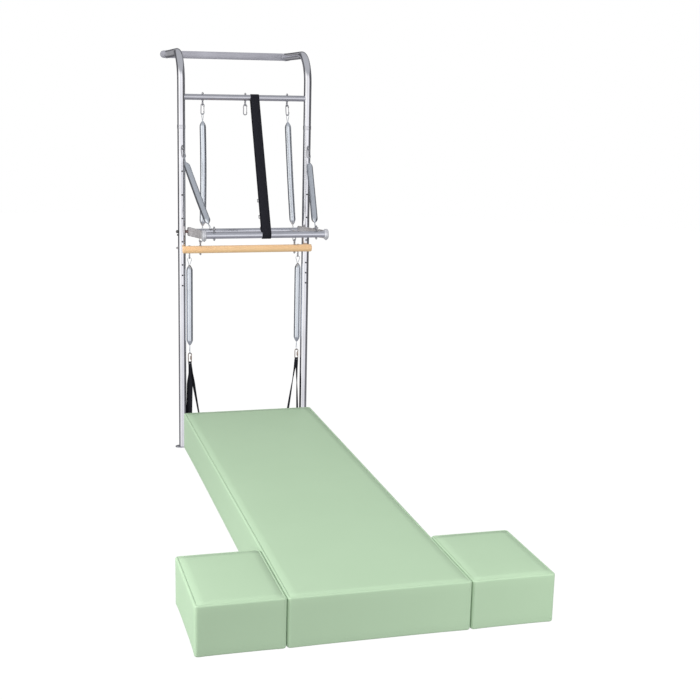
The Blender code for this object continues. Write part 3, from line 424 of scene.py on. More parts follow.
def upper_post(middle, radius, foot, end_y, end_z):
    """A ring of wall drawn up, spun back about X and drawn on to the wall."""
    bm = bmesh.new()
    for r in (radius, radius - TUBE_WALL):
        bmesh.ops.create_circle(bm, radius=r, segments=ROUND_SIDES)
    bmesh.ops.bridge_loops(bm, edges=bm.edges)
    bmesh.ops.translate(bm, vec=(middle.x, middle.y, foot), verts=bm.verts)
    run_y = end_y - middle.y - BEND_RADIUS * (1 + math.sin(ARM_SLOPE))
    centre_z = end_z + run_y * math.tan(ARM_SLOPE) - BEND_RADIUS * math.cos(ARM_SLOPE)
    faces = extruded(bm, list(bm.faces), (0, 0, centre_z - foot))
    faces = extruded(bm, faces, cent=(middle.x, middle.y + BEND_RADIUS, centre_z), axis=(-1, 0, 0),
                     angle=math.pi / 2 + ARM_SLOPE, steps=BEND_STEPS)
    faces = extruded(bm, faces, (0, run_y, -run_y * math.tan(ARM_SLOPE)))
    for vert in {v for face in faces for v in face.verts}:
        shift = end_y - vert.co.y
        vert.co.y += shift
        vert.co.z -= shift * math.tan(ARM_SLOPE)
    return bm


bent_steel = metal("bent_steel", POST_STEEL, (90, 30, 30), (0.10, 0.16), 0.000001)
for side in SIDES:
    low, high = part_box(f"upright_upper_{side}")
    flange_low, flange_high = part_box(f"wall_flange_{side}")
    radius = (high.x - low.x) / 2
    middle = Vector(((low.x + high.x) / 2, low.y + radius, 0))
    end_y = flange_high.y - FLANGE_THICKNESS - TOUCH
    end_z = (flange_low.z + flange_high.z) / 2
    piece(upper_post(middle, radius, low.z, end_y, end_z), f"upper_post_{side}", "tower", bent_steel,
          f"upright_upper_{side}")

# Joint collars
# A thin ring of brighter steel over the joint of each post, where a spigot holds the two tubes together.
# It is turned, with a fine groove at each end, and pressed on.
COLLAR_EDGE = 0.0003
COLLAR_RISE = 0.0007
COLLAR_GROOVE = 0.0006
GROOVE_SHARE = 0.16
satin_steel = metal("satin_steel", (0.70, 0.70, 0.73), (180, 180, 180), (0.26, 0.40),
                    0.000004)
collar_steel = metal("collar_steel", (0.80, 0.80, 0.83), (300, 300, 20), (0.18, 0.28),
                     0.000003)
for side in SIDES:
    low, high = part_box(f"joint_sleeve_{side}")
    middle, inside = (low + high) / 2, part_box(f"upright_lower_{side}")
    inner = (inside[1].x - inside[0].x) / 2 + TOUCH
    outer, tall = inner + COLLAR_RISE, high.z - low.z
    profile = [(inner, 0), (outer - COLLAR_EDGE, 0), (outer, COLLAR_EDGE)]
    for groove in (tall * GROOVE_SHARE, tall * (1 - GROOVE_SHARE)):
        profile += [(outer, groove - COLLAR_GROOVE), (outer - COLLAR_GROOVE, groove),
                    (outer, groove + COLLAR_GROOVE)]
    profile += [(outer, tall - COLLAR_EDGE), (outer - COLLAR_EDGE, tall), (inner, tall)]
    collar = moved(turned(profile), Matrix.Translation((middle.x, middle.y, low.z)))
    piece(collar, f"collar_{side}", "tower", collar_steel, f"joint_sleeve_{side}")

# Floor flanges
# A pressed foot of satin steel under each post, with round ends and eased edges. Two pan-head screws
# hold it to the floor.
FLANGE_BEVEL = 0.0012
SCREW_HEAD_RADIUS = 0.0052
SCREW_HEAD_HEIGHT = 0.0030
SCREW_SOCKET = 0.0020
SCREW_INSET = 0.010
LEVEL = 1e-6


def level_edges(bm):
    return [e for e in bm.edges if abs(e.verts[0].co.z - e.verts[1].co.z) < LEVEL]


def eased(bm, edges, width, segments=2):
    bmesh.ops.bevel(bm, geom=edges, offset=width, segments=segments, affect="EDGES", profile=0.5, material=-1)
    return bm


def plate(outline, thickness, bevel):
    """A flat plate in its own XY plane, its outer corners eased."""
    bm = bmesh.new()
    face = bm.faces.new([bm.verts.new((x, y, -thickness / 2)) for x, y in outline])
    extruded(bm, [face], (0, 0, thickness))
    return eased(bm, level_edges(bm), bevel)


def arc(centre, radius, start, end, steps):
    """Points on an arc, angles in degrees."""
    angles = [math.radians(start + (end - start) * i / steps) for i in range(steps + 1)]
    return [(centre[0] + radius * math.cos(a), centre[1] + radius * math.sin(a)) for a in angles]


def stadium(length, width, steps=16):
    """The outline of a bar with round ends along X, overall length and width."""
    radius, reach = width / 2, (length - width) / 2
    return arc((reach, 0), radius, -90, 90, steps) + arc((-reach, 0), radius, 90, 270, steps)


zinc = metal("zinc_plate", (0.62, 0.62, 0.64), (300, 300, 300), (0.16, 0.30), 0.00001)
rim, top = SCREW_HEAD_RADIUS, SCREW_HEAD_HEIGHT
pan_head = [(0, 0), (rim, 0), (rim, top * 0.45), (rim * 0.75, top * 0.85), (rim * 0.45, top),
            (SCREW_SOCKET, top), (SCREW_SOCKET, top * 0.5), (0, top * 0.5)]
for side in SIDES:
    low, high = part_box(f"foot_flange_{side}")
    middle, size = (low + high) / 2, high - low
    foot = moved(plate(stadium(size.x, size.y), size.z, FLANGE_BEVEL), Matrix.Translation(middle))
    piece(foot, f"floor_flange_{side}", "tower", satin_steel, f"foot_flange_{side}")
    for number, way in enumerate((-1, 1)):
        place = (middle.x + way * (size.x / 2 - SCREW_INSET), middle.y, high.z)
        head = moved(turned(pan_head, 24), Matrix.Translation(place))
        piece(head, f"flange_screw_{side}_{number + 1}", "tower", zinc)

# Wall bar
# A flat steel bar with round ends, brushed along its length, against the wall. Each bent tube ends in a
# plug and disc that is welded to it.
BAR_BEVEL = 0.0008
DISC_EASE = 0.001
BAR_SIDES = 48
BAR_RINGS = 12
brushed_bar = metal("brushed_bar", (0.55, 0.55, 0.59), (6, 500, 500), (0.30, 0.46),
                    0.000004)
low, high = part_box("wall_bar")
middle, size = (low + high) / 2, high - low
bar = moved(plate(stadium(size.x, size.z), size.y, BAR_BEVEL),
            Matrix.Translation(middle) @ Matrix.Rotation(math.pi / 2, 4, "X"))
piece(bar, "brushed_wall_bar", "tower", brushed_bar, "wall_bar")
for side in SIDES:
    low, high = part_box(f"wall_flange_{side}")
    middle, radius = (low + high) / 2, (high.x - low.x) / 2
    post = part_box(f"upright_lower_{side}")
    plug = (post[1].x - post[0].x) / 2 - TUBE_WALL - 3 * TOUCH
    depth = high.y - low.y
    face = depth - FLANGE_THICKNESS
    profile = [(0, 0), (plug, 0), (plug, face), (radius - DISC_EASE, face), (radius, face + DISC_EASE),
               (radius, depth), (0, depth)]
    disc = laid(turned(profile, BAR_SIDES), (middle.x, low.y, middle.z), (0, 1, 0))
    piece(disc, f"wall_disc_{side}", "tower", satin_steel, f"wall_flange_{side}")

# Upper crossbar
# A 30 mm steel tube between the posts, brushed along its length. Its ends are cut to the curve of the
# posts and welded on.
cross_steel = metal("cross_steel", (0.70, 0.70, 0.74), (5, 420, 420), (0.20, 0.32),
                    0.000003)
low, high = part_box("upper_crossbar")
cross_middle, cross_radius = (low + high) / 2, (high.z - low.z) / 2
post_low, post_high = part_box("upright_lower_left")
post_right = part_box("upright_lower_right")
post_radius = (post_high.x - post_low.x) / 2
post_x = {"left": (post_low.x + post_high.x) / 2, "right": (post_right[0].x + post_right[1].x) / 2}
post_y = (post_low.y + post_high.y) / 2
length = post_x["right"] - post_x["left"]
bm = laid(turned(tube_profile(cross_radius, TUBE_WALL, length, rings=BAR_RINGS), BAR_SIDES),
          (post_x["left"], post_y, cross_middle.z), (1, 0, 0))
for vert in bm.verts:
    cope = math.sqrt(post_radius ** 2 - (vert.co.y - post_y) ** 2) + TOUCH
    vert.co.x = min(max(vert.co.x, post_x["left"] + cope), post_x["right"] - cope)
bmesh.ops.dissolve_degenerate(bm, dist=1e-7, edges=bm.edges)
piece(bm, "crossbar_tube", "tower", cross_steel, "upper_crossbar")

# Eyebolts
# Zinc-plated steel: an eye with a collar, a threaded shank and a hexagon nut. They go through the
# crossbar, the posts, the push-through bar and the roll-down bar.
EYE_RADIUS = 0.010
EYE_WIRE = 0.003
HOOP_STEPS = 40
SEAT = EYE_RADIUS + EYE_WIRE + 0.003
LEG_SPACER = 0.004
SHANK_RADIUS = 0.003
THREAD_PITCH = 0.001
THREAD_DEPTH = 0.00045
NUT_WIDTH = 0.0105
NUT_HEIGHT = 0.006
NUT_EASE = 0.09
TIP = 0.003
COLLAR_FOOT = 0.0055
BOLT_COLLAR = 0.0065
COLLAR_FACE = 0.0060
COLLAR_SLOPE = 0.001
COLLAR_TURN = 0.0006
NECK_FOOT = 0.0036
NECK_WAIST = 0.0032
NECK_TOP = 0.0042
WAIST_RISE = 0.002


def hexagon_nut(width, height, base):
    """A nut on Z with chamfered corners, its flats width apart."""
    radius = width / math.sqrt(3)
    bm = rod(radius, (0, 0, base), (0, 0, base + height), 6)
    return eased(bm, level_edges(bm), height * NUT_EASE)


def threaded(radius, start, end):
    """A threaded shank on Z, its thread cut as close rings."""
    profile = [(0, start), (radius, start)]
    count = round((end - start) / THREAD_PITCH)
    for i in range(count):
        z = start + (end - start) * i / count
        step = (end - start) / count
        profile += [(radius - THREAD_DEPTH, z + step * 0.5), (radius, z + step)]
    profile += [(radius - 2 * THREAD_DEPTH, end + THREAD_DEPTH), (0, end + THREAD_DEPTH)]
    return turned(profile, 16)


def hoop(wire, sides, out, axis):
    """A ring of round wire about an axis, whose middle line goes through the out point."""
    bm = bmesh.new()
    bmesh.ops.create_circle(bm, radius=wire, segments=sides)
    bmesh.ops.translate(bm, vec=out, verts=bm.verts)
    bmesh.ops.spin(bm, geom=list(bm.verts) + list(bm.edges), cent=(0, 0, 0), axis=axis,
                   angle=2 * math.pi, steps=HOOP_STEPS, use_merge=True)
    return bm


def eyebolt(grip, seat):
    """Eye centred on the origin, its hole along X, its shank up Z through a piece of the grip's depth."""
    eye = hoop(EYE_WIRE, 16, (0, EYE_RADIUS, 0), (1, 0, 0))
    rim = EYE_RADIUS + EYE_WIRE
    collar = turned([(0, rim), (COLLAR_FOOT, rim), (BOLT_COLLAR, rim + COLLAR_SLOPE),
                     (BOLT_COLLAR, seat - COLLAR_TURN), (COLLAR_FACE, seat), (0, seat)], 24)
    neck = turned([(0, EYE_RADIUS), (NECK_FOOT, EYE_RADIUS), (NECK_WAIST, EYE_RADIUS + WAIST_RISE),
                   (NECK_TOP, rim + COLLAR_SLOPE), (0, rim + COLLAR_SLOPE)], 20)
    nut_base = seat + grip + 2 * TOUCH
    shank = threaded(SHANK_RADIUS, seat - COLLAR_SLOPE, nut_base + NUT_HEIGHT + TIP)
    return added(eye, collar, neck, shank, hexagon_nut(NUT_WIDTH, NUT_HEIGHT, nut_base))


def axes(x, z):
    """The turn whose X and Z lie along two directions."""
    return Matrix((x, z.cross(x), z)).transposed().to_4x4()


def depth_of(node):
    """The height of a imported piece."""
    low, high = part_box(node)
    return high.z - low.z


def eye_centre(node, shank):
    """The middle of a packed eyebolt's eye."""
    low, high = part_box(node)
    shank = Vector(shank)
    half = (high - low) / 2
    reach = abs(half.dot(Vector(map(abs, shank))))
    return (low + high) / 2 - shank * (reach - EYE_RADIUS - EYE_WIRE)


eyes = {}
bolts = [(f"crossbar_eyebolt_{tag}", "tower", (0, 0, 1), (1, 0, 0), 2 * cross_radius)
         for tag in ("left", "centre", "right")]
for side, way in SIDES.items():
    bolts += [(f"upper_eyebolt_{side}", "tower", (0, 1, 0), (1, 0, 0), 2 * post_radius),
              (f"lower_eyebolt_{side}", "tower", (way, 0, 0), (0, 1, 0), 2 * post_radius),
              (f"push_bar_eyebolt_{side}", "push_through_bar", (0, 0, -1), (1, 0, 0),
               depth_of("push_bar_front_tube")),
              (f"roll_bar_eyebolt_{side}", "roll_down_bar", (0, 0, -1), (1, 0, 0),
               depth_of("roll_down_bar"))]
for node, body, shank, hole, grip in bolts:
    eyes[node] = eye_centre(node, shank)
    place = Matrix.Translation(eyes[node]) @ axes(Vector(hole), Vector(shank))
    seat = SEAT + LEG_SPACER if node.startswith("lower") else SEAT
    piece(moved(eyebolt(grip, seat), place), node.replace("eyebolt", "eye"), body, zinc, node)

# Snap hooks
# Oval hooks bent from 5 mm wire, with a hinged gate on one side, zinc-plated. The two that hold the foot
# loops are of bronze, with a broad pressed gate.
SNAP_WIRE = 0.0025
SNAP_HALF_WIDTH = 0.0085
SNAP_PITCH = 0.053
HOOK_PLAY = 0.0009
EYE_BEARING = EYE_RADIUS - EYE_WIRE - SNAP_WIRE - HOOK_PLAY
GATE_TOP = -0.0125
GATE_BOTTOM = -0.0400
GATE_RADIUS = 0.0019
RIVET_RADIUS = 0.0022
RIVET_HALF = 0.0031
PLATE_WIDTH = 0.0095
PLATE_THICKNESS = 0.0032
PLATE_CLEAR = 0.002
PLATE_PROUD = 0.002
PLATE_BEVEL = 0.0008
GATE_LEAN = 0.0006
GATE_SLIP = 0.0005
GATE_HEAD = 0.0014
GATE_FOOT = 0.0012


def ring_points(radius, sides):
    return [(radius * math.cos(2 * math.pi * i / sides), radius * math.sin(2 * math.pi * i / sides))
            for i in range(sides)]


def frames_along(points, side):
    """A frame at each point of a path: X along a fixed side direction, Z along the path."""
    frames = []
    for i, point in enumerate(points):
        ahead = (points[min(i + 1, len(points) - 1)] - points[max(i - 1, 0)]).normalized()
        x = (Vector(side) - ahead * ahead.dot(Vector(side))).normalized()
        frames.append(Matrix.Translation(point) @ axes(x, ahead))
    return frames


def drawn(section, frames):
    """A section drawn from frame to frame. The distance along and across is kept for the weave."""
    bm = bmesh.new()
    along = bm.verts.layers.float.new("along")
    across = bm.verts.layers.float.new("across")
    verts = []
    for x, y in section:
        vert = bm.verts.new(frames[0] @ Vector((x, y, 0)))
        vert[across] = x
        verts.append(vert)
    face = bm.faces.new(verts)
    travelled = 0.0
    for before, after in zip(frames, frames[1:]):
        travelled += (after.translation - before.translation).length
        grown = bmesh.ops.extrude_face_region(bm, geom=[face])["geom"]
        face = next(g for g in grown if isinstance(g, bmesh.types.BMFace))
        bmesh.ops.transform(bm, matrix=after @ before.inverted(), verts=face.verts)
        for vert in face.verts:
            vert[along] = travelled
    return bm


def snap_hook(broad=False):
    """Hangs from the middle of its top wire at the origin, in its own XZ plane, the gate at +X."""
    bend = SNAP_HALF_WIDTH
    path = [Vector((bend, 0, GATE_TOP + GATE_SLIP))]
    path += [Vector((x, 0, z)) for x, z in arc((0, -bend), bend, 0, 180, 16)]
    path += [Vector((x, 0, z)) for x, z in arc((0, bend - SNAP_PITCH), bend, 180, 360, 16)]
    path.append(Vector((bend, 0, GATE_BOTTOM - GATE_SLIP)))
    wire = drawn(ring_points(SNAP_WIRE, 14), frames_along(path, (0, 1, 0)))
    gate = rod(GATE_RADIUS, (bend, 0, GATE_BOTTOM - GATE_FOOT), (bend - GATE_LEAN, 0, GATE_TOP + GATE_HEAD),
               16)
    rivet = rod(RIVET_RADIUS, (bend, -RIVET_HALF, GATE_BOTTOM), (bend, RIVET_HALF, GATE_BOTTOM), 16)
    catch = rod(GATE_RADIUS * 1.25, (bend - GATE_LEAN, -RIVET_HALF * 0.8, GATE_TOP),
                (bend - GATE_LEAN, RIVET_HALF * 0.8, GATE_TOP), 12)
    hook = added(wire, gate, rivet, catch)
    if broad:
        length = GATE_TOP - GATE_BOTTOM - 2 * PLATE_CLEAR
        pressed = plate(stadium(length, PLATE_WIDTH), PLATE_THICKNESS, PLATE_BEVEL)
        place = (bend + PLATE_PROUD - PLATE_WIDTH / 2, 0, (GATE_TOP + GATE_BOTTOM) / 2)
        moved(pressed, Matrix.Translation(place) @ Matrix.Rotation(math.pi / 2, 4, "X")
              @ Matrix.Rotation(math.pi / 2, 4, "Z"))
        return added(hook, pressed)
    return hook


def line_matrix(origin, line, across):
    """Hangs a part from a point down a line, its own X near the across direction."""
    z = -Vector(line).normalized()
    x = (Vector(across) - z * z.dot(Vector(across))).normalized()
    return Matrix.Translation(origin) @ axes(x, z)


bronze = metal("bronze", (0.66, 0.56, 0.48), (300, 300, 300), (0.24, 0.40), 0.00001,
               darker=(0.20, 0.14, 0.11), patches=(150, 150, 150), detail=3.0)

# Springs
# Each hangs between two snap hooks: close-wound bright wire whose body narrows to a loop at each end.
# Its turns are spread evenly over the length between its loops.
COIL_RADIUS = 0.0165
COIL_WIRE = 0.0014
COIL_PITCH = 0.00295
COIL_BULGE = 0.00012
COIL_STEPS = 24
COIL_GAP = 0.00004
LOOP_TAIL = 0.003
LOOP_START = 206
LOOP_END = -26
NECK_RADIUS = 0.0030
TAPER_LENGTH = 0.030
LOOPS = {"push_spring": ((0.0098, 0.041), (0.0098, 0.052)),
         "roll_spring": ((0.0105, 0.039), (0.0098, 0.038)),
         "leg_spring": ((0.0105, 0.040), (0.0125, 0.048))}
LOOP_OVERLAP = SNAP_WIRE + COIL_WIRE + 0.0006
PUSH_TOP_SAG = 0.022
PUSH_END_SAG = 0.036
PUSH_BOW = (0, -0.007, -0.010)
ROLL_BOW = {"left": (0.005, 0, 0), "right": (-0.002, 0, 0)}
ROLL_ACROSS = {"left": (0.966, 0.259, 0), "right": (0.927, 0.375, 0)}
ROLL_LEAN = {"left": (0.010, 0, 0), "right": (-0.004, 0, 0)}


def loop_path(radius, reach):
    """Wire bent to a drop-shaped loop over Z. It begins and ends at the narrow end of the coil."""
    tip = LOOP_OVERLAP - reach
    path = [Vector((0, -NECK_RADIUS * 0.4, tip + LOOP_TAIL))]
    path += [Vector((0, y, z))
             for y, z in arc((0, LOOP_OVERLAP - radius), radius, LOOP_START, LOOP_END, 28)]
    path.append(Vector((0, NECK_RADIUS, tip)))
    return path


def coil(length, quarter, loops):
    """Its loops hook over the wires at the origin and at -length on Z. A quarter turn more sets the
    lower loop across the upper one."""
    middle = COIL_RADIUS - COIL_WIRE
    body_top = LOOP_OVERLAP - loops[0][1]
    body_length = length + body_top + LOOP_OVERLAP - loops[1][1]
    turns = round(body_length / COIL_PITCH)
    pitch = body_length / turns
    body = bmesh.new()
    side = COIL_WIRE - COIL_BULGE
    half = pitch / 2 - COIL_GAP
    bow = [(math.sin(i * math.pi / 6) * half, side + COIL_BULGE * math.cos(i * math.pi / 6))
           for i in range(-3, 4)]
    section = [body.verts.new((0, middle + y, body_top + z)) for z, y in bow]
    section += [body.verts.new((0, middle - y, body_top + z)) for z, y in reversed(bow)]
    rim = [body.edges.new(pair) for pair in zip(section, section[1:] + section[:1])]
    bmesh.ops.spin(body, geom=section + rim, cent=(0, 0, 0), axis=(0, 0, -1), angle=2 * math.pi,
                   dvec=(0, 0, -pitch / COIL_STEPS), steps=COIL_STEPS)
    bmesh.ops.spin(body, geom=list(body.verts) + list(body.edges) + list(body.faces), cent=(0, 0, 0),
                   axis=(0, 0, 1), angle=0, dvec=(0, 0, -pitch), steps=turns - 1, use_duplicate=True)
    bmesh.ops.remove_doubles(body, verts=body.verts, dist=1e-6)
    bmesh.ops.holes_fill(body, edges=body.edges)
    end = math.pi / 2 if quarter else 0.0
    for vert in body.verts:
        fall = body_top - vert.co.z
        share = min(max(min(fall, body_length - fall) / TAPER_LENGTH, 0.0), 1.0)
        narrow = (middle - NECK_RADIUS) * (1 - math.sin(share * math.pi / 2))
        radial = Vector((vert.co.x, vert.co.y, 0)).normalized()
        vert.co = Matrix.Rotation(-end * fall / body_length, 3, "Z") @ (vert.co - radial * narrow)
    lower = [Vector((p.y * math.sin(end), p.y * math.cos(end), -length - p.z)) for p in loop_path(*loops[1])]
    sides = ((1, 0, 0), (math.cos(end), -math.sin(end), 0))
    hooks = [drawn(ring_points(COIL_WIRE, 10), frames_along(path, side))
             for path, side in zip((loop_path(*loops[0]), lower), sides)]
    return added(body, *hooks)


spring_wire = metal("spring_wire", (0.90, 0.95, 1.0), (60, 60, 60), (0.12, 0.17), 0.000001)


def leaned(direction, aside):
    """A hook's direction, turned so that its end lies aside of the straight line."""
    aside = aside - direction * direction.dot(aside)
    share = aside.length / SNAP_PITCH
    return direction * math.sqrt(1 - share * share) + aside / SNAP_PITCH


def bowed(bm, start, end, bow):
    """A coil whose middle is set aside by a bow. It bends lengthwise and keeps its round."""
    line = end - start
    for vert in bm.verts:
        share = (vert.co - start).dot(line) / line.length_squared
        vert.co += Vector(bow) * 4 * share * (1 - share)
    return bm


def hang_spring(prefix, side, top_eye, bottom_wire, top_body, end_body, end_metal=zinc,
                across=(1, 0, 0), lower_across=None, asides=((0, 0, 0), (0, 0, 0)), bow=(0, 0, 0)):
    """The upper hook, the coil and the lower hook. Each hook can lie aside of the straight line."""
    top_eye, bottom_wire = Vector(top_eye), Vector(bottom_wire)
    straight = (bottom_wire - top_eye).normalized()
    hang, back = leaned(straight, Vector(asides[0])), leaned(-straight, Vector(asides[1]))
    lower_across = lower_across or across
    top_wire = top_eye + hang * EYE_BEARING
    coil_top = top_wire + hang * SNAP_PITCH
    coil_bottom = bottom_wire + back * SNAP_PITCH
    line = coil_bottom - coil_top
    upper = moved(snap_hook(), line_matrix(top_wire, hang, across))
    piece(upper, f"{prefix}_top_snap_{side}", top_body, zinc, f"{prefix}_upper_hook_{side}")
    lower = moved(snap_hook(end_metal is bronze), line_matrix(coil_bottom, -back, lower_across))
    piece(lower, f"{prefix}_end_snap_{side}", end_body, end_metal, f"{prefix}_lower_hook_{side}")
    wound = coil(line.length, lower_across != across, LOOPS[prefix])
    wound = bowed(moved(wound, line_matrix(coil_top, line, across)), coil_top, coil_bottom, bow)
    spring = piece(wound, f"{prefix}_wound_{side}", None, spring_wire, f"{prefix}_coil_{side}")
    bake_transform(spring)


def below(direction, sag):
    """The way down, square to a direction, as long as the sag."""
    return (direction * direction.z - Vector((0, 0, 1))).normalized() * sag


centre_wire = eyes["crossbar_eyebolt_centre"] - Vector((0, 0, EYE_BEARING))
piece(moved(snap_hook(), line_matrix(centre_wire, (0, 0, -1), (1, 0, 0))), "centre_snap", "centre_snap", zinc,
      "centre_snap_hook")
leg_hook_top = {}
for side in SIDES:
    top, bottom = eyes[f"upper_eyebolt_{side}"], eyes[f"push_bar_eyebolt_{side}"]
    straight = (bottom - top).normalized()
    hang_spring("push_spring", side, top, bottom, f"push_spring_top_{side}", f"push_spring_end_{side}",
                asides=(below(straight, PUSH_TOP_SAG), below(-straight, PUSH_END_SAG)), bow=PUSH_BOW)
    top, bottom = eyes[f"crossbar_eyebolt_{side}"], eyes[f"roll_bar_eyebolt_{side}"]
    hang_spring("roll_spring", side, top, bottom + (top - bottom).normalized() * EYE_BEARING,
                "roll_down_springs", "roll_down_bar", across=ROLL_ACROSS[side],
                asides=((0, 0, 0), ROLL_LEAN[side]), bow=ROLL_BOW[side])
    top = eyes[f"lower_eyebolt_{side}"]
    hook_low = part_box(f"leg_spring_lower_hook_{side}")[0]
    leg_hook_top[side] = Vector((top.x, top.y, hook_low.z + SNAP_WIRE))
    hang_spring("leg_spring", side, top, leg_hook_top[side], f"leg_spring_top_{side}",
                f"leg_spring_end_{side}", bronze, (0, 1, 0), (1, 0, 0))

# Push-through bar
# A 31 mm front tube and a 28 mm rear tube, tied by two flat steel arms. Each arm is welded to a clamp
# hub on the front tube and turns on a bolt in its post.
ARM_BEVEL = 0.0012
ARM_WIDTH_AT_PIVOT = 0.046
ARM_WIDTH_AT_FRONT = 0.040
ARM_THICKNESS = 0.010
HUB_LENGTH = 0.018
HUB_CHAMFER = 0.003
HUB_GROOVE = 0.0012
CLAMP_RADIUS = 0.0042
CLAMP_LENGTH = 0.0045
CLAMP_TIP = 0.001
CLAMP_SUNK = 0.002
WELD_GAP = 0.003
front_low, front_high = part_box("push_bar_front_tube")
front = (front_low + front_high) / 2
front_radius = (front_high.z - front_low.z) / 2
push_steel = metal("push_steel", (0.78, 0.79, 0.84), (5, 420, 420), (0.20, 0.32),
                   0.000003)
arm_steel = metal("arm_steel", (0.80, 0.78, 0.78), (500, 14, 240), (0.34, 0.50), 0.000006,
                  darker=(0.56, 0.53, 0.53), patches=(60, 22, 60), metallic=0.55)
hub_steel = metal("hub_steel", (0.80, 0.80, 0.84), (90, 260, 260), (0.30, 0.46), 0.00003,
                  metallic=0.55)
for end in ("front", "rear"):
    low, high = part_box(f"push_bar_{end}_tube")
    middle, radius = (low + high) / 2, (high.z - low.z) / 2
    tube = turned(tube_profile(radius, TUBE_WALL, high.x - low.x, rings=BAR_RINGS), BAR_SIDES)
    piece(laid(tube, (low.x, middle.y, middle.z), (1, 0, 0)), f"push_{end}_tube", "push_through_bar",
          push_steel, f"push_bar_{end}_tube")
rear_low, rear_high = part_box("push_bar_rear_tube")
rear_end = {"left": rear_low.x, "right": rear_high.x}
pivot = Vector((0, post_y, (rear_low.z + rear_high.z) / 2))
for side, way in SIDES.items():
    low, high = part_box(f"push_bar_arm_{side}")
    hub_out = high.x if way > 0 else low.x
    hub_in = hub_out - way * HUB_LENGTH
    arm_middle = rear_end[side] + way * (TOUCH + ARM_THICKNESS / 2)
    hub_radius = high.z - front.z
    reach = Vector((0, front.y - pivot.y, front.z - pivot.z))
    outline = arc((0, 0), ARM_WIDTH_AT_PIVOT / 2, 90, 270, 20)
    stop = reach.length - front_radius - WELD_GAP
    outline += [(stop, -ARM_WIDTH_AT_FRONT / 2), (stop, ARM_WIDTH_AT_FRONT / 2)]
    arm_turn = axes(reach.normalized(), Vector((1, 0, 0)))
    arm = moved(plate(outline, ARM_THICKNESS, ARM_BEVEL),
                Matrix.Translation((arm_middle, pivot.y, pivot.z)) @ arm_turn)
    bore, edge, groove = front_radius + TOUCH, hub_radius - HUB_CHAMFER, hub_radius - HUB_GROOVE
    profile = [(bore, 0), (edge, 0), (hub_radius, HUB_CHAMFER), (hub_radius, HUB_LENGTH * 0.42),
               (groove, HUB_LENGTH * 0.46), (groove, HUB_LENGTH * 0.54), (hub_radius, HUB_LENGTH * 0.58),
               (hub_radius, HUB_LENGTH - HUB_CHAMFER), (edge, HUB_LENGTH), (bore, HUB_LENGTH)]
    hub = laid(turned(profile, BAR_SIDES), (min(hub_in, hub_out), front.y, front.z), (1, 0, 0))
    clamp_top = Vector(((hub_in + hub_out) / 2, front.y, front.z - hub_radius + CLAMP_SUNK))
    clamp_foot = clamp_top - Vector((0, 0, CLAMP_LENGTH))
    clamp = added(rod(CLAMP_RADIUS, clamp_top, clamp_foot, 6),
                  rod(CLAMP_RADIUS * 0.6, clamp_top, clamp_foot - Vector((0, 0, CLAMP_TIP)), 20))
    piece(clamp, f"clamp_bolt_{side}", "push_through_bar", zinc)
    piece(arm, f"push_arm_{side}", "push_through_bar", arm_steel, f"push_bar_arm_{side}")
    piece(hub, f"push_hub_{side}", "push_through_bar", hub_steel)

# End caps
# Grey moulded plastic plugs with a domed face and a fine mottle from the mould. They are pushed into the
# ends of the front tube.
CAP_FACE = 0.004
CAP_ROUND = 0.006
CAP_RIM = 0.35
cap_paint, shader, tree = surface("moulded_grey")
mottle = noise_of(tree, (700, 700, 700))
finished(tree, shader, mottle, ((0.42, 0.43, 0.44), (0.52, 0.53, 0.54)), mottle, (0.32, 0.45), mottle,
         0.00004)
for side, way in SIDES.items():
    low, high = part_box(f"push_bar_end_cap_{side}")
    outside = high.x if way > 0 else low.x
    base = outside - way * CAP_FACE
    plug = front_radius - TUBE_WALL - TOUCH
    depth = (high.x - low.x) - CAP_FACE
    profile = [(0, -depth), (plug, -depth), (plug, 0), (front_radius, 0), (front_radius, CAP_FACE * CAP_RIM)]
    profile += [(front_radius - CAP_ROUND * (1 - math.cos(a)),
                 CAP_FACE * (CAP_RIM + (1 - CAP_RIM) * math.sin(a)))
                for a in (math.pi / 2 * i / 6 for i in range(1, 7))]
    profile.append((0, CAP_FACE))
    cap = laid(turned(profile, 40), (base, front.y, front.z), (way, 0, 0))
    piece(cap, f"moulded_cap_{side}", "push_through_bar", cap_paint, f"push_bar_end_cap_{side}")

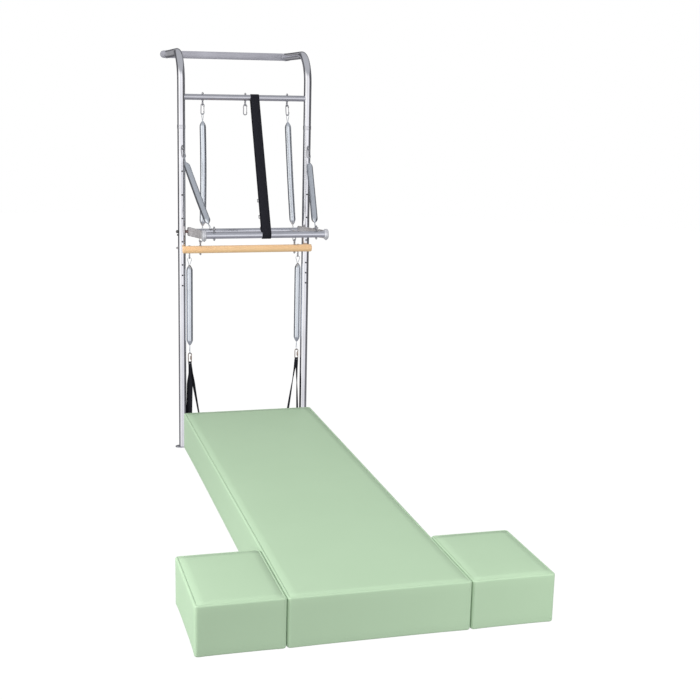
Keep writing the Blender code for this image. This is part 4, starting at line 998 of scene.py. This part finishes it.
# Pivot bolts
# Dark oiled steel: the pin that the arm turns on, a spacer inside the post, a washer and a nut outside it,
# and a small lock screw below the nut.
dark_steel = metal("dark_steel", (0.34, 0.22, 0.21), (240, 240, 240), (0.30, 0.48), 0.00001)
oxide_steel = metal("oxide_steel", (0.22, 0.23, 0.22), (240, 240, 240), (0.34, 0.50), 0.00001)
PIN_RADIUS = 0.005
SPACER_RADIUS = 0.008
PIVOT_NUT_WIDTH = 0.014
PIVOT_NUT_HEIGHT = 0.008
WASHER_RADIUS = 0.0085
WASHER_THICKNESS = 0.0015
LOCK_DROP = 0.0175
LOCK_WIDTH = 0.008
LOCK_HEIGHT = 0.006
LOCK_SUNK = 0.0015
LOCK_PIN = 0.002
LOCK_PIN_OUT = 0.001
BOLT_END = 0.002
for side, way in SIDES.items():
    low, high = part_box(f"pivot_bolt_{side}")
    tip = low.x if way > 0 else high.x
    post_face = post_x[side] + way * (post_radius + TOUCH)
    post_inside = post_x[side] - way * (post_radius + TOUCH)
    arm_face = rear_end[side] + way * (2 * TOUCH + ARM_THICKNESS)
    nut_end = post_face + way * (PIVOT_NUT_HEIGHT + BOLT_END)
    pin = rod(PIN_RADIUS, (tip, pivot.y, pivot.z), (nut_end, pivot.y, pivot.z), 32)
    spacer = rod(SPACER_RADIUS, (arm_face, pivot.y, pivot.z), (post_inside, pivot.y, pivot.z), 32)
    piece(added(pin, spacer), f"pivot_pin_{side}", "tower", dark_steel, f"pivot_bolt_{side}")
    washer = rod(WASHER_RADIUS, (0, 0, 0), (0, 0, WASHER_THICKNESS), 32)
    nut = hexagon_nut(PIVOT_NUT_WIDTH, PIVOT_NUT_HEIGHT - WASHER_THICKNESS, WASHER_THICKNESS)
    lock = added(hexagon_nut(LOCK_WIDTH, LOCK_HEIGHT, -LOCK_SUNK),
                 rod(LOCK_PIN, (0, 0, -LOCK_SUNK), (0, 0, LOCK_HEIGHT + LOCK_PIN_OUT - LOCK_SUNK), 16))
    nuts = added(laid(added(washer, nut), (post_face, pivot.y, pivot.z), (way, 0, 0)),
                 laid(lock, (post_face, pivot.y, pivot.z - LOCK_DROP), (way, 0, 0)))
    piece(nuts, f"pivot_nuts_{side}", "tower", oxide_steel)

# Roll-down bar
# A maple dowel, turned, sanded with its ends eased, and lacquered. Its grain runs along it, and two
# eyebolts go through it.
DOWEL_EASE = 0.004
STREAK_SHARE = 0.55
FIGURE_SHARE = 0.45
maple, shader, tree = surface("maple_lacquer")
streaks = noise_of(tree, (5, 150, 150), 6.0)
figure = noise_of(tree, (2.2, 26, 26))
pores = noise_of(tree, (90, 1500, 1500), 2.0)
grain = reckoned(tree, "MULTIPLY_ADD", streaks, STREAK_SHARE,
                 reckoned(tree, "MULTIPLY", figure, FIGURE_SHARE))
finished(tree, shader, spread(tree, grain, 0, 1), ((1.0, 0.69, 0.39), (1.0, 0.61, 0.32)), pores, (0.30, 0.44),
         pores, 0.00003)
shader.inputs["Coat Weight"].default_value = 0.25
shader.inputs["Coat Roughness"].default_value = 0.2
low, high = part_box("roll_down_bar")
middle, radius, half_length = (low + high) / 2, (high.z - low.z) / 2, (high.x - low.x) / 2
ease = [(radius - DOWEL_EASE * (1 - math.cos(a)), half_length - DOWEL_EASE * (1 - math.sin(a)))
        for a in (math.pi / 2 * i / 5 for i in range(6))]
profile = [(0, half_length)] + ease[::-1] + [(r, -z) for r, z in ease] + [(0, -half_length)]
dowel = laid(turned(profile, BAR_SIDES), middle, (1, 0, 0))
piece(dowel, "maple_dowel", "roll_down_bar", maple, "roll_down_bar")

# Webbing
# Woven black polyester tape with ribs across it. The foot loops and the safety strap are cut from it,
# doubled round and sewn.
RIB = 0.0017
ACROSS_STRETCH = 1.3
SOFT_ANGLE = 60
TAPE_ENDS = 4
webbing, shader, tree = surface("webbing")


def wave_of(name, pitch):
    """A sine along a kept distance, with a wave every pitch."""
    read = tree.nodes.new("ShaderNodeAttribute")
    read.attribute_name = name
    return reckoned(tree, "SINE", reckoned(tree, "MULTIPLY", read.outputs["Fac"], 2 * math.pi / pitch))


weave = reckoned(tree, "MULTIPLY", wave_of("along", RIB), wave_of("across", RIB * ACROSS_STRETCH))
fuzz = noise_of(tree, (900, 900, 900), 2.0)
finished(tree, shader, fuzz, ((0.011, 0.011, 0.015), (0.022, 0.022, 0.030)), fuzz, None, weave, 0.00025)
shader.inputs["Roughness"].default_value = 0.72
shader.inputs["Specular IOR Level"].default_value = 0.12

# Foot loops
# A doubled loop of tape on each leg spring, gathered where it is sewn round the snap hook. A small wire
# ring lies over the seam.
LOOP_WIDTH = 0.038
LOOP_THICKNESS = 0.0042
LOOP_GATHER = 0.46
LOOP_GATHERED = 0.050
LOOP_OPENING = 0.125
LOOP_BEND = 0.02975
STRAND_STEPS = 24
BOTTOM_STEPS = 16
LEFT_TURN = math.radians(45)
SQUARE_ON = math.pi / 2
RING_RADIUS = 0.0085
RING_WIRE = 0.0011
RING_DROP = 0.006
RING_TILT = math.radians(62)
RING_ROLL = math.radians(12)


def band_frame(place, ahead, turn, way):
    """A frame on the tape: X across it, gathered near the wire, Z along it."""
    across = Vector((math.cos(turn), way * math.sin(turn), 0))
    across = (across - ahead * ahead.dot(across)).normalized()
    opened = min(max((-place.z - LOOP_GATHERED) / (LOOP_OPENING - LOOP_GATHERED), 0.0), 1.0)
    opened = LOOP_GATHER + (1 - LOOP_GATHER) * opened * opened * (3 - 2 * opened)
    return Matrix.Translation(place) @ axes(across, ahead) @ Matrix.Diagonal((opened, 1, 1, 1))


def foot_loop(way, drop, outer_x, most_turn):
    """The tape goes over the wire at the origin, down its outer strand, round the bottom and up. The
    strands turn their width from X towards Y as they part."""
    wrap = SNAP_WIRE + TOUCH + LOOP_THICKNESS / 2
    inner_x = outer_x - way * 2 * LOOP_BEND
    low = LOOP_BEND + LOOP_THICKNESS / 2 - drop
    stops = [(Vector((0, y, z)), 0.0) for y, z in arc((0, 0), wrap, 0, 180, 10)]
    falls = []
    for share in (i / STRAND_STEPS for i in range(1, STRAND_STEPS)):
        apart = wrap * (1 - share)
        falls.append((share, apart, math.atan2(LOOP_BEND * share, apart)))
    stops += [(Vector((outer_x * s, -y, low * s)), min(turn, most_turn)) for s, y, turn in falls]
    for i, (x, z) in enumerate(arc((0, low), LOOP_BEND, 180, 360, BOTTOM_STEPS)):
        turn = most_turn + (SQUARE_ON - most_turn) * i / BOTTOM_STEPS
        stops.append((Vector(((outer_x + inner_x) / 2 - way * x, 0, z)), turn))
    stops += [(Vector((inner_x * s, y, low * s)), turn) for s, y, turn in reversed(falls)]
    stops.append(stops[0])
    frames = []
    for i, (place, turn) in enumerate(stops):
        ahead = stops[min(i + 1, len(stops) - 1)][0] - stops[max(i - 1, 0)][0]
        frames.append(band_frame(place, ahead.normalized(), turn, way))
    return drawn(stadium(LOOP_WIDTH, LOOP_THICKNESS, TAPE_ENDS), frames)


for side, way in SIDES.items():
    low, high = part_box(f"foot_loop_{side}")
    wire = leg_hook_top[side]
    inner_edge = high.x - wire.x if way < 0 else low.x - wire.x
    outer_x = inner_edge + way * (LOOP_THICKNESS / 2 + 2 * LOOP_BEND)
    most_turn = LEFT_TURN if way < 0 else SQUARE_ON
    band = moved(foot_loop(way, wire.z - low.z, outer_x, most_turn), Matrix.Translation(wire))
    piece(band, f"webbing_loop_{side}", f"leg_spring_end_{side}", webbing, f"foot_loop_{side}",
          sharp=SOFT_ANGLE)
    ring = hoop(RING_WIRE, 12, (RING_RADIUS, 0, 0), (0, 1, 0))
    tilt = Matrix.Rotation(RING_TILT, 4, "X") @ Matrix.Rotation(RING_ROLL * way, 4, "Y")
    moved(ring, Matrix.Translation(wire - Vector((0, 0, RING_DROP))) @ tilt)
    piece(ring, f"sewn_ring_{side}", f"leg_spring_end_{side}", zinc)

# Safety strap
# A 44 mm tape looped round the crossbar and the front tube of the push-through bar. It stops the bar
# from dropping.
STRAP_WIDTH = 0.044
STRAP_THICKNESS = 0.0025
STRAP_PLAY = 0.0008
STRAP_STEPS = 20
TURN_STEPS = 16


def straight_run(start, end, stops):
    """Points on a straight run of the strap."""
    return [((start[0] * (STRAP_STEPS - i) + end[0] * i) / STRAP_STEPS, start[1]) for i in stops]


low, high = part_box("safety_strap")
strap_top = Vector((high.x - STRAP_WIDTH / 2, cross_middle.y, cross_middle.z))
strap_bottom = Vector((low.x + STRAP_WIDTH / 2, front.y, front.z))
strap_line = Vector((0, strap_bottom.y - strap_top.y, strap_bottom.z - strap_top.z))
strap_radius = max(cross_radius, front_radius) + STRAP_PLAY + STRAP_THICKNESS / 2
lean = (strap_bottom.x - strap_top.x) / strap_line.length
ends = stadium(strap_line.length + 2 * strap_radius, 2 * strap_radius, TURN_STEPS)
near, far = ends[:TURN_STEPS + 1], ends[TURN_STEPS + 1:]
outline = near + straight_run(near[-1], far[0], range(1, STRAP_STEPS)) + far
outline += straight_run(far[-1], near[0], range(1, STRAP_STEPS + 1))
strap_turn = axes(strap_line.normalized(), Vector((1, 0, 0)))
strap_middle = (strap_top + strap_bottom) / 2
path = [Vector((x, y, 0)) for x, y in outline]
band = drawn(stadium(STRAP_WIDTH, STRAP_THICKNESS, TAPE_ENDS), frames_along(path, (0, 0, 1)))
for vert in band.verts:
    vert.co.z += lean * vert.co.x
strap_place = Matrix.Translation(strap_middle) @ strap_turn
strap = piece(moved(band, strap_place), "webbing_strap", None, webbing, "safety_strap", sharp=SOFT_ANGLE)
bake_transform(strap)

# Strap slides
# Two plain wire slides, zinc-plated, over the run of the strap that faces the wall. They lie above the
# buckle.
SLIDE_WIRE = 0.0018
SLIDE_HALF = 0.008
SLIDE_RISES = (0.119, 0.215)
slide_out = strap_radius + STRAP_THICKNESS / 2 + SLIDE_WIRE + TOUCH
back_way = 1 if (strap_turn @ Vector((0, 1, 0))).y > 0 else -1
for number, rise in enumerate(SLIDE_RISES):
    along_x = strap_line.length / 2 - rise
    corners = []
    for a, z in ((-1, -1), (1, -1), (1, 1), (-1, 1)):
        x = along_x + a * SLIDE_HALF
        aside = z * (STRAP_WIDTH / 2 + 2 * SLIDE_WIRE) + lean * x
        corners.append(Vector((x, back_way * slide_out, aside)))
    rods = [rod(SLIDE_WIRE, a, b, 16) for a, b in zip(corners, corners[1:] + corners[:1])]
    wire = piece(moved(added(bmesh.new(), *rods), strap_place), f"strap_slide_{number + 1}", None, zinc)
    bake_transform(wire)

# Mat and side cushions
# Firm foam in pale green vinyl. The corners are rounded, a seam runs round the top panel a little way in,
# the top is crowned, and the sides draw in towards the floor.
CROWN = 0.004
DRAW_IN = 0.002
FOOT_DRAW = 0.004
EDGE = 0.007
CORNER = 0.016
SEAM_INSET = 0.0105
SEAM_HALF = 0.0016
SEAM_DEPTH = 0.0016
PAD_CELL = 0.03
vinyl, shader, tree = surface("vinyl")
leather_grain = noise_of(tree, (1400, 1400, 1400), 4.0)
finished(tree, shader, noise_of(tree, (3, 3, 3)), ((0.455, 0.625, 0.425), (0.485, 0.655, 0.455)),
         leather_grain, (0.46, 0.58), leather_grain, 0.00006)


def cushion(low, high):
    """A block between two corners, cut in cells, with a crown and drawn-in sides."""
    size, middle = high - low, (low + high) / 2
    bm = bmesh.new()
    bmesh.ops.create_cube(bm, size=1.0)
    moved(bm, Matrix.Translation(middle) @ Matrix.Diagonal((size.x, size.y, size.z, 1)))
    posts = [e for e in bm.edges if abs(e.verts[0].co.z - e.verts[1].co.z) > size.z / 2]
    eased(bm, posts, CORNER, 6)
    eased(bm, level_edges(bm), EDGE, 5)
    for axis in range(3):
        count = max(2, round(size[axis] / PAD_CELL))
        cuts = [low[axis] + CORNER + (size[axis] - 2 * CORNER) * i / count for i in range(1, count)]
        if axis < 2:
            for inset in (SEAM_INSET - SEAM_HALF, SEAM_INSET, SEAM_INSET + SEAM_HALF):
                cuts += [low[axis] + inset, high[axis] - inset]
        normal = Vector((0, 0, 0))
        normal[axis] = 1
        for at in cuts:
            point = middle.copy()
            point[axis] = at
            bmesh.ops.bisect_plane(bm, geom=list(bm.verts) + list(bm.edges) + list(bm.faces),
                                   plane_co=point, plane_no=normal)
    for vert in bm.verts:
        u = 2 * (vert.co.x - middle.x) / size.x
        v = 2 * (vert.co.y - middle.y) / size.y
        w = (vert.co.z - low.z) / size.z
        pull = DRAW_IN * math.sin(math.pi * w) + FOOT_DRAW * (1 - w) ** 2
        inset = min(size.x / 2 - abs(vert.co.x - middle.x), size.y / 2 - abs(vert.co.y - middle.y))
        if w > 0.99 and abs(inset - SEAM_INSET) < SEAM_HALF * 0.5:
            vert.co.z -= SEAM_DEPTH
        vert.co.x -= pull * (1 - v ** 4) * max(-1, min(1, u)) * abs(u) ** 3
        vert.co.y -= pull * (1 - u ** 4) * max(-1, min(1, v)) * abs(v) ** 3
        vert.co.z -= CROWN * (1 - (1 - u ** 4) * (1 - v ** 4)) * w ** 3
    return bm


for node, name, body in (("mat", "vinyl_mat", "tower"),
                         ("side_cushion_left", "vinyl_cushion_left", "side_cushion_left"),
                         ("side_cushion_right", "vinyl_cushion_right", "side_cushion_right")):
    pad = piece(cushion(*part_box(node)), name, body, vinyl, node, sharp=SOFT_ANGLE)
    pad.visible_glossy = False

# Buckle
# A square steel ring, zinc-plated, on the back of the strap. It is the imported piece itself, so it only
# gets a material.
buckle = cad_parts["strap_buckle"].data
buckle.materials.clear()
buckle.materials.append(zinc)
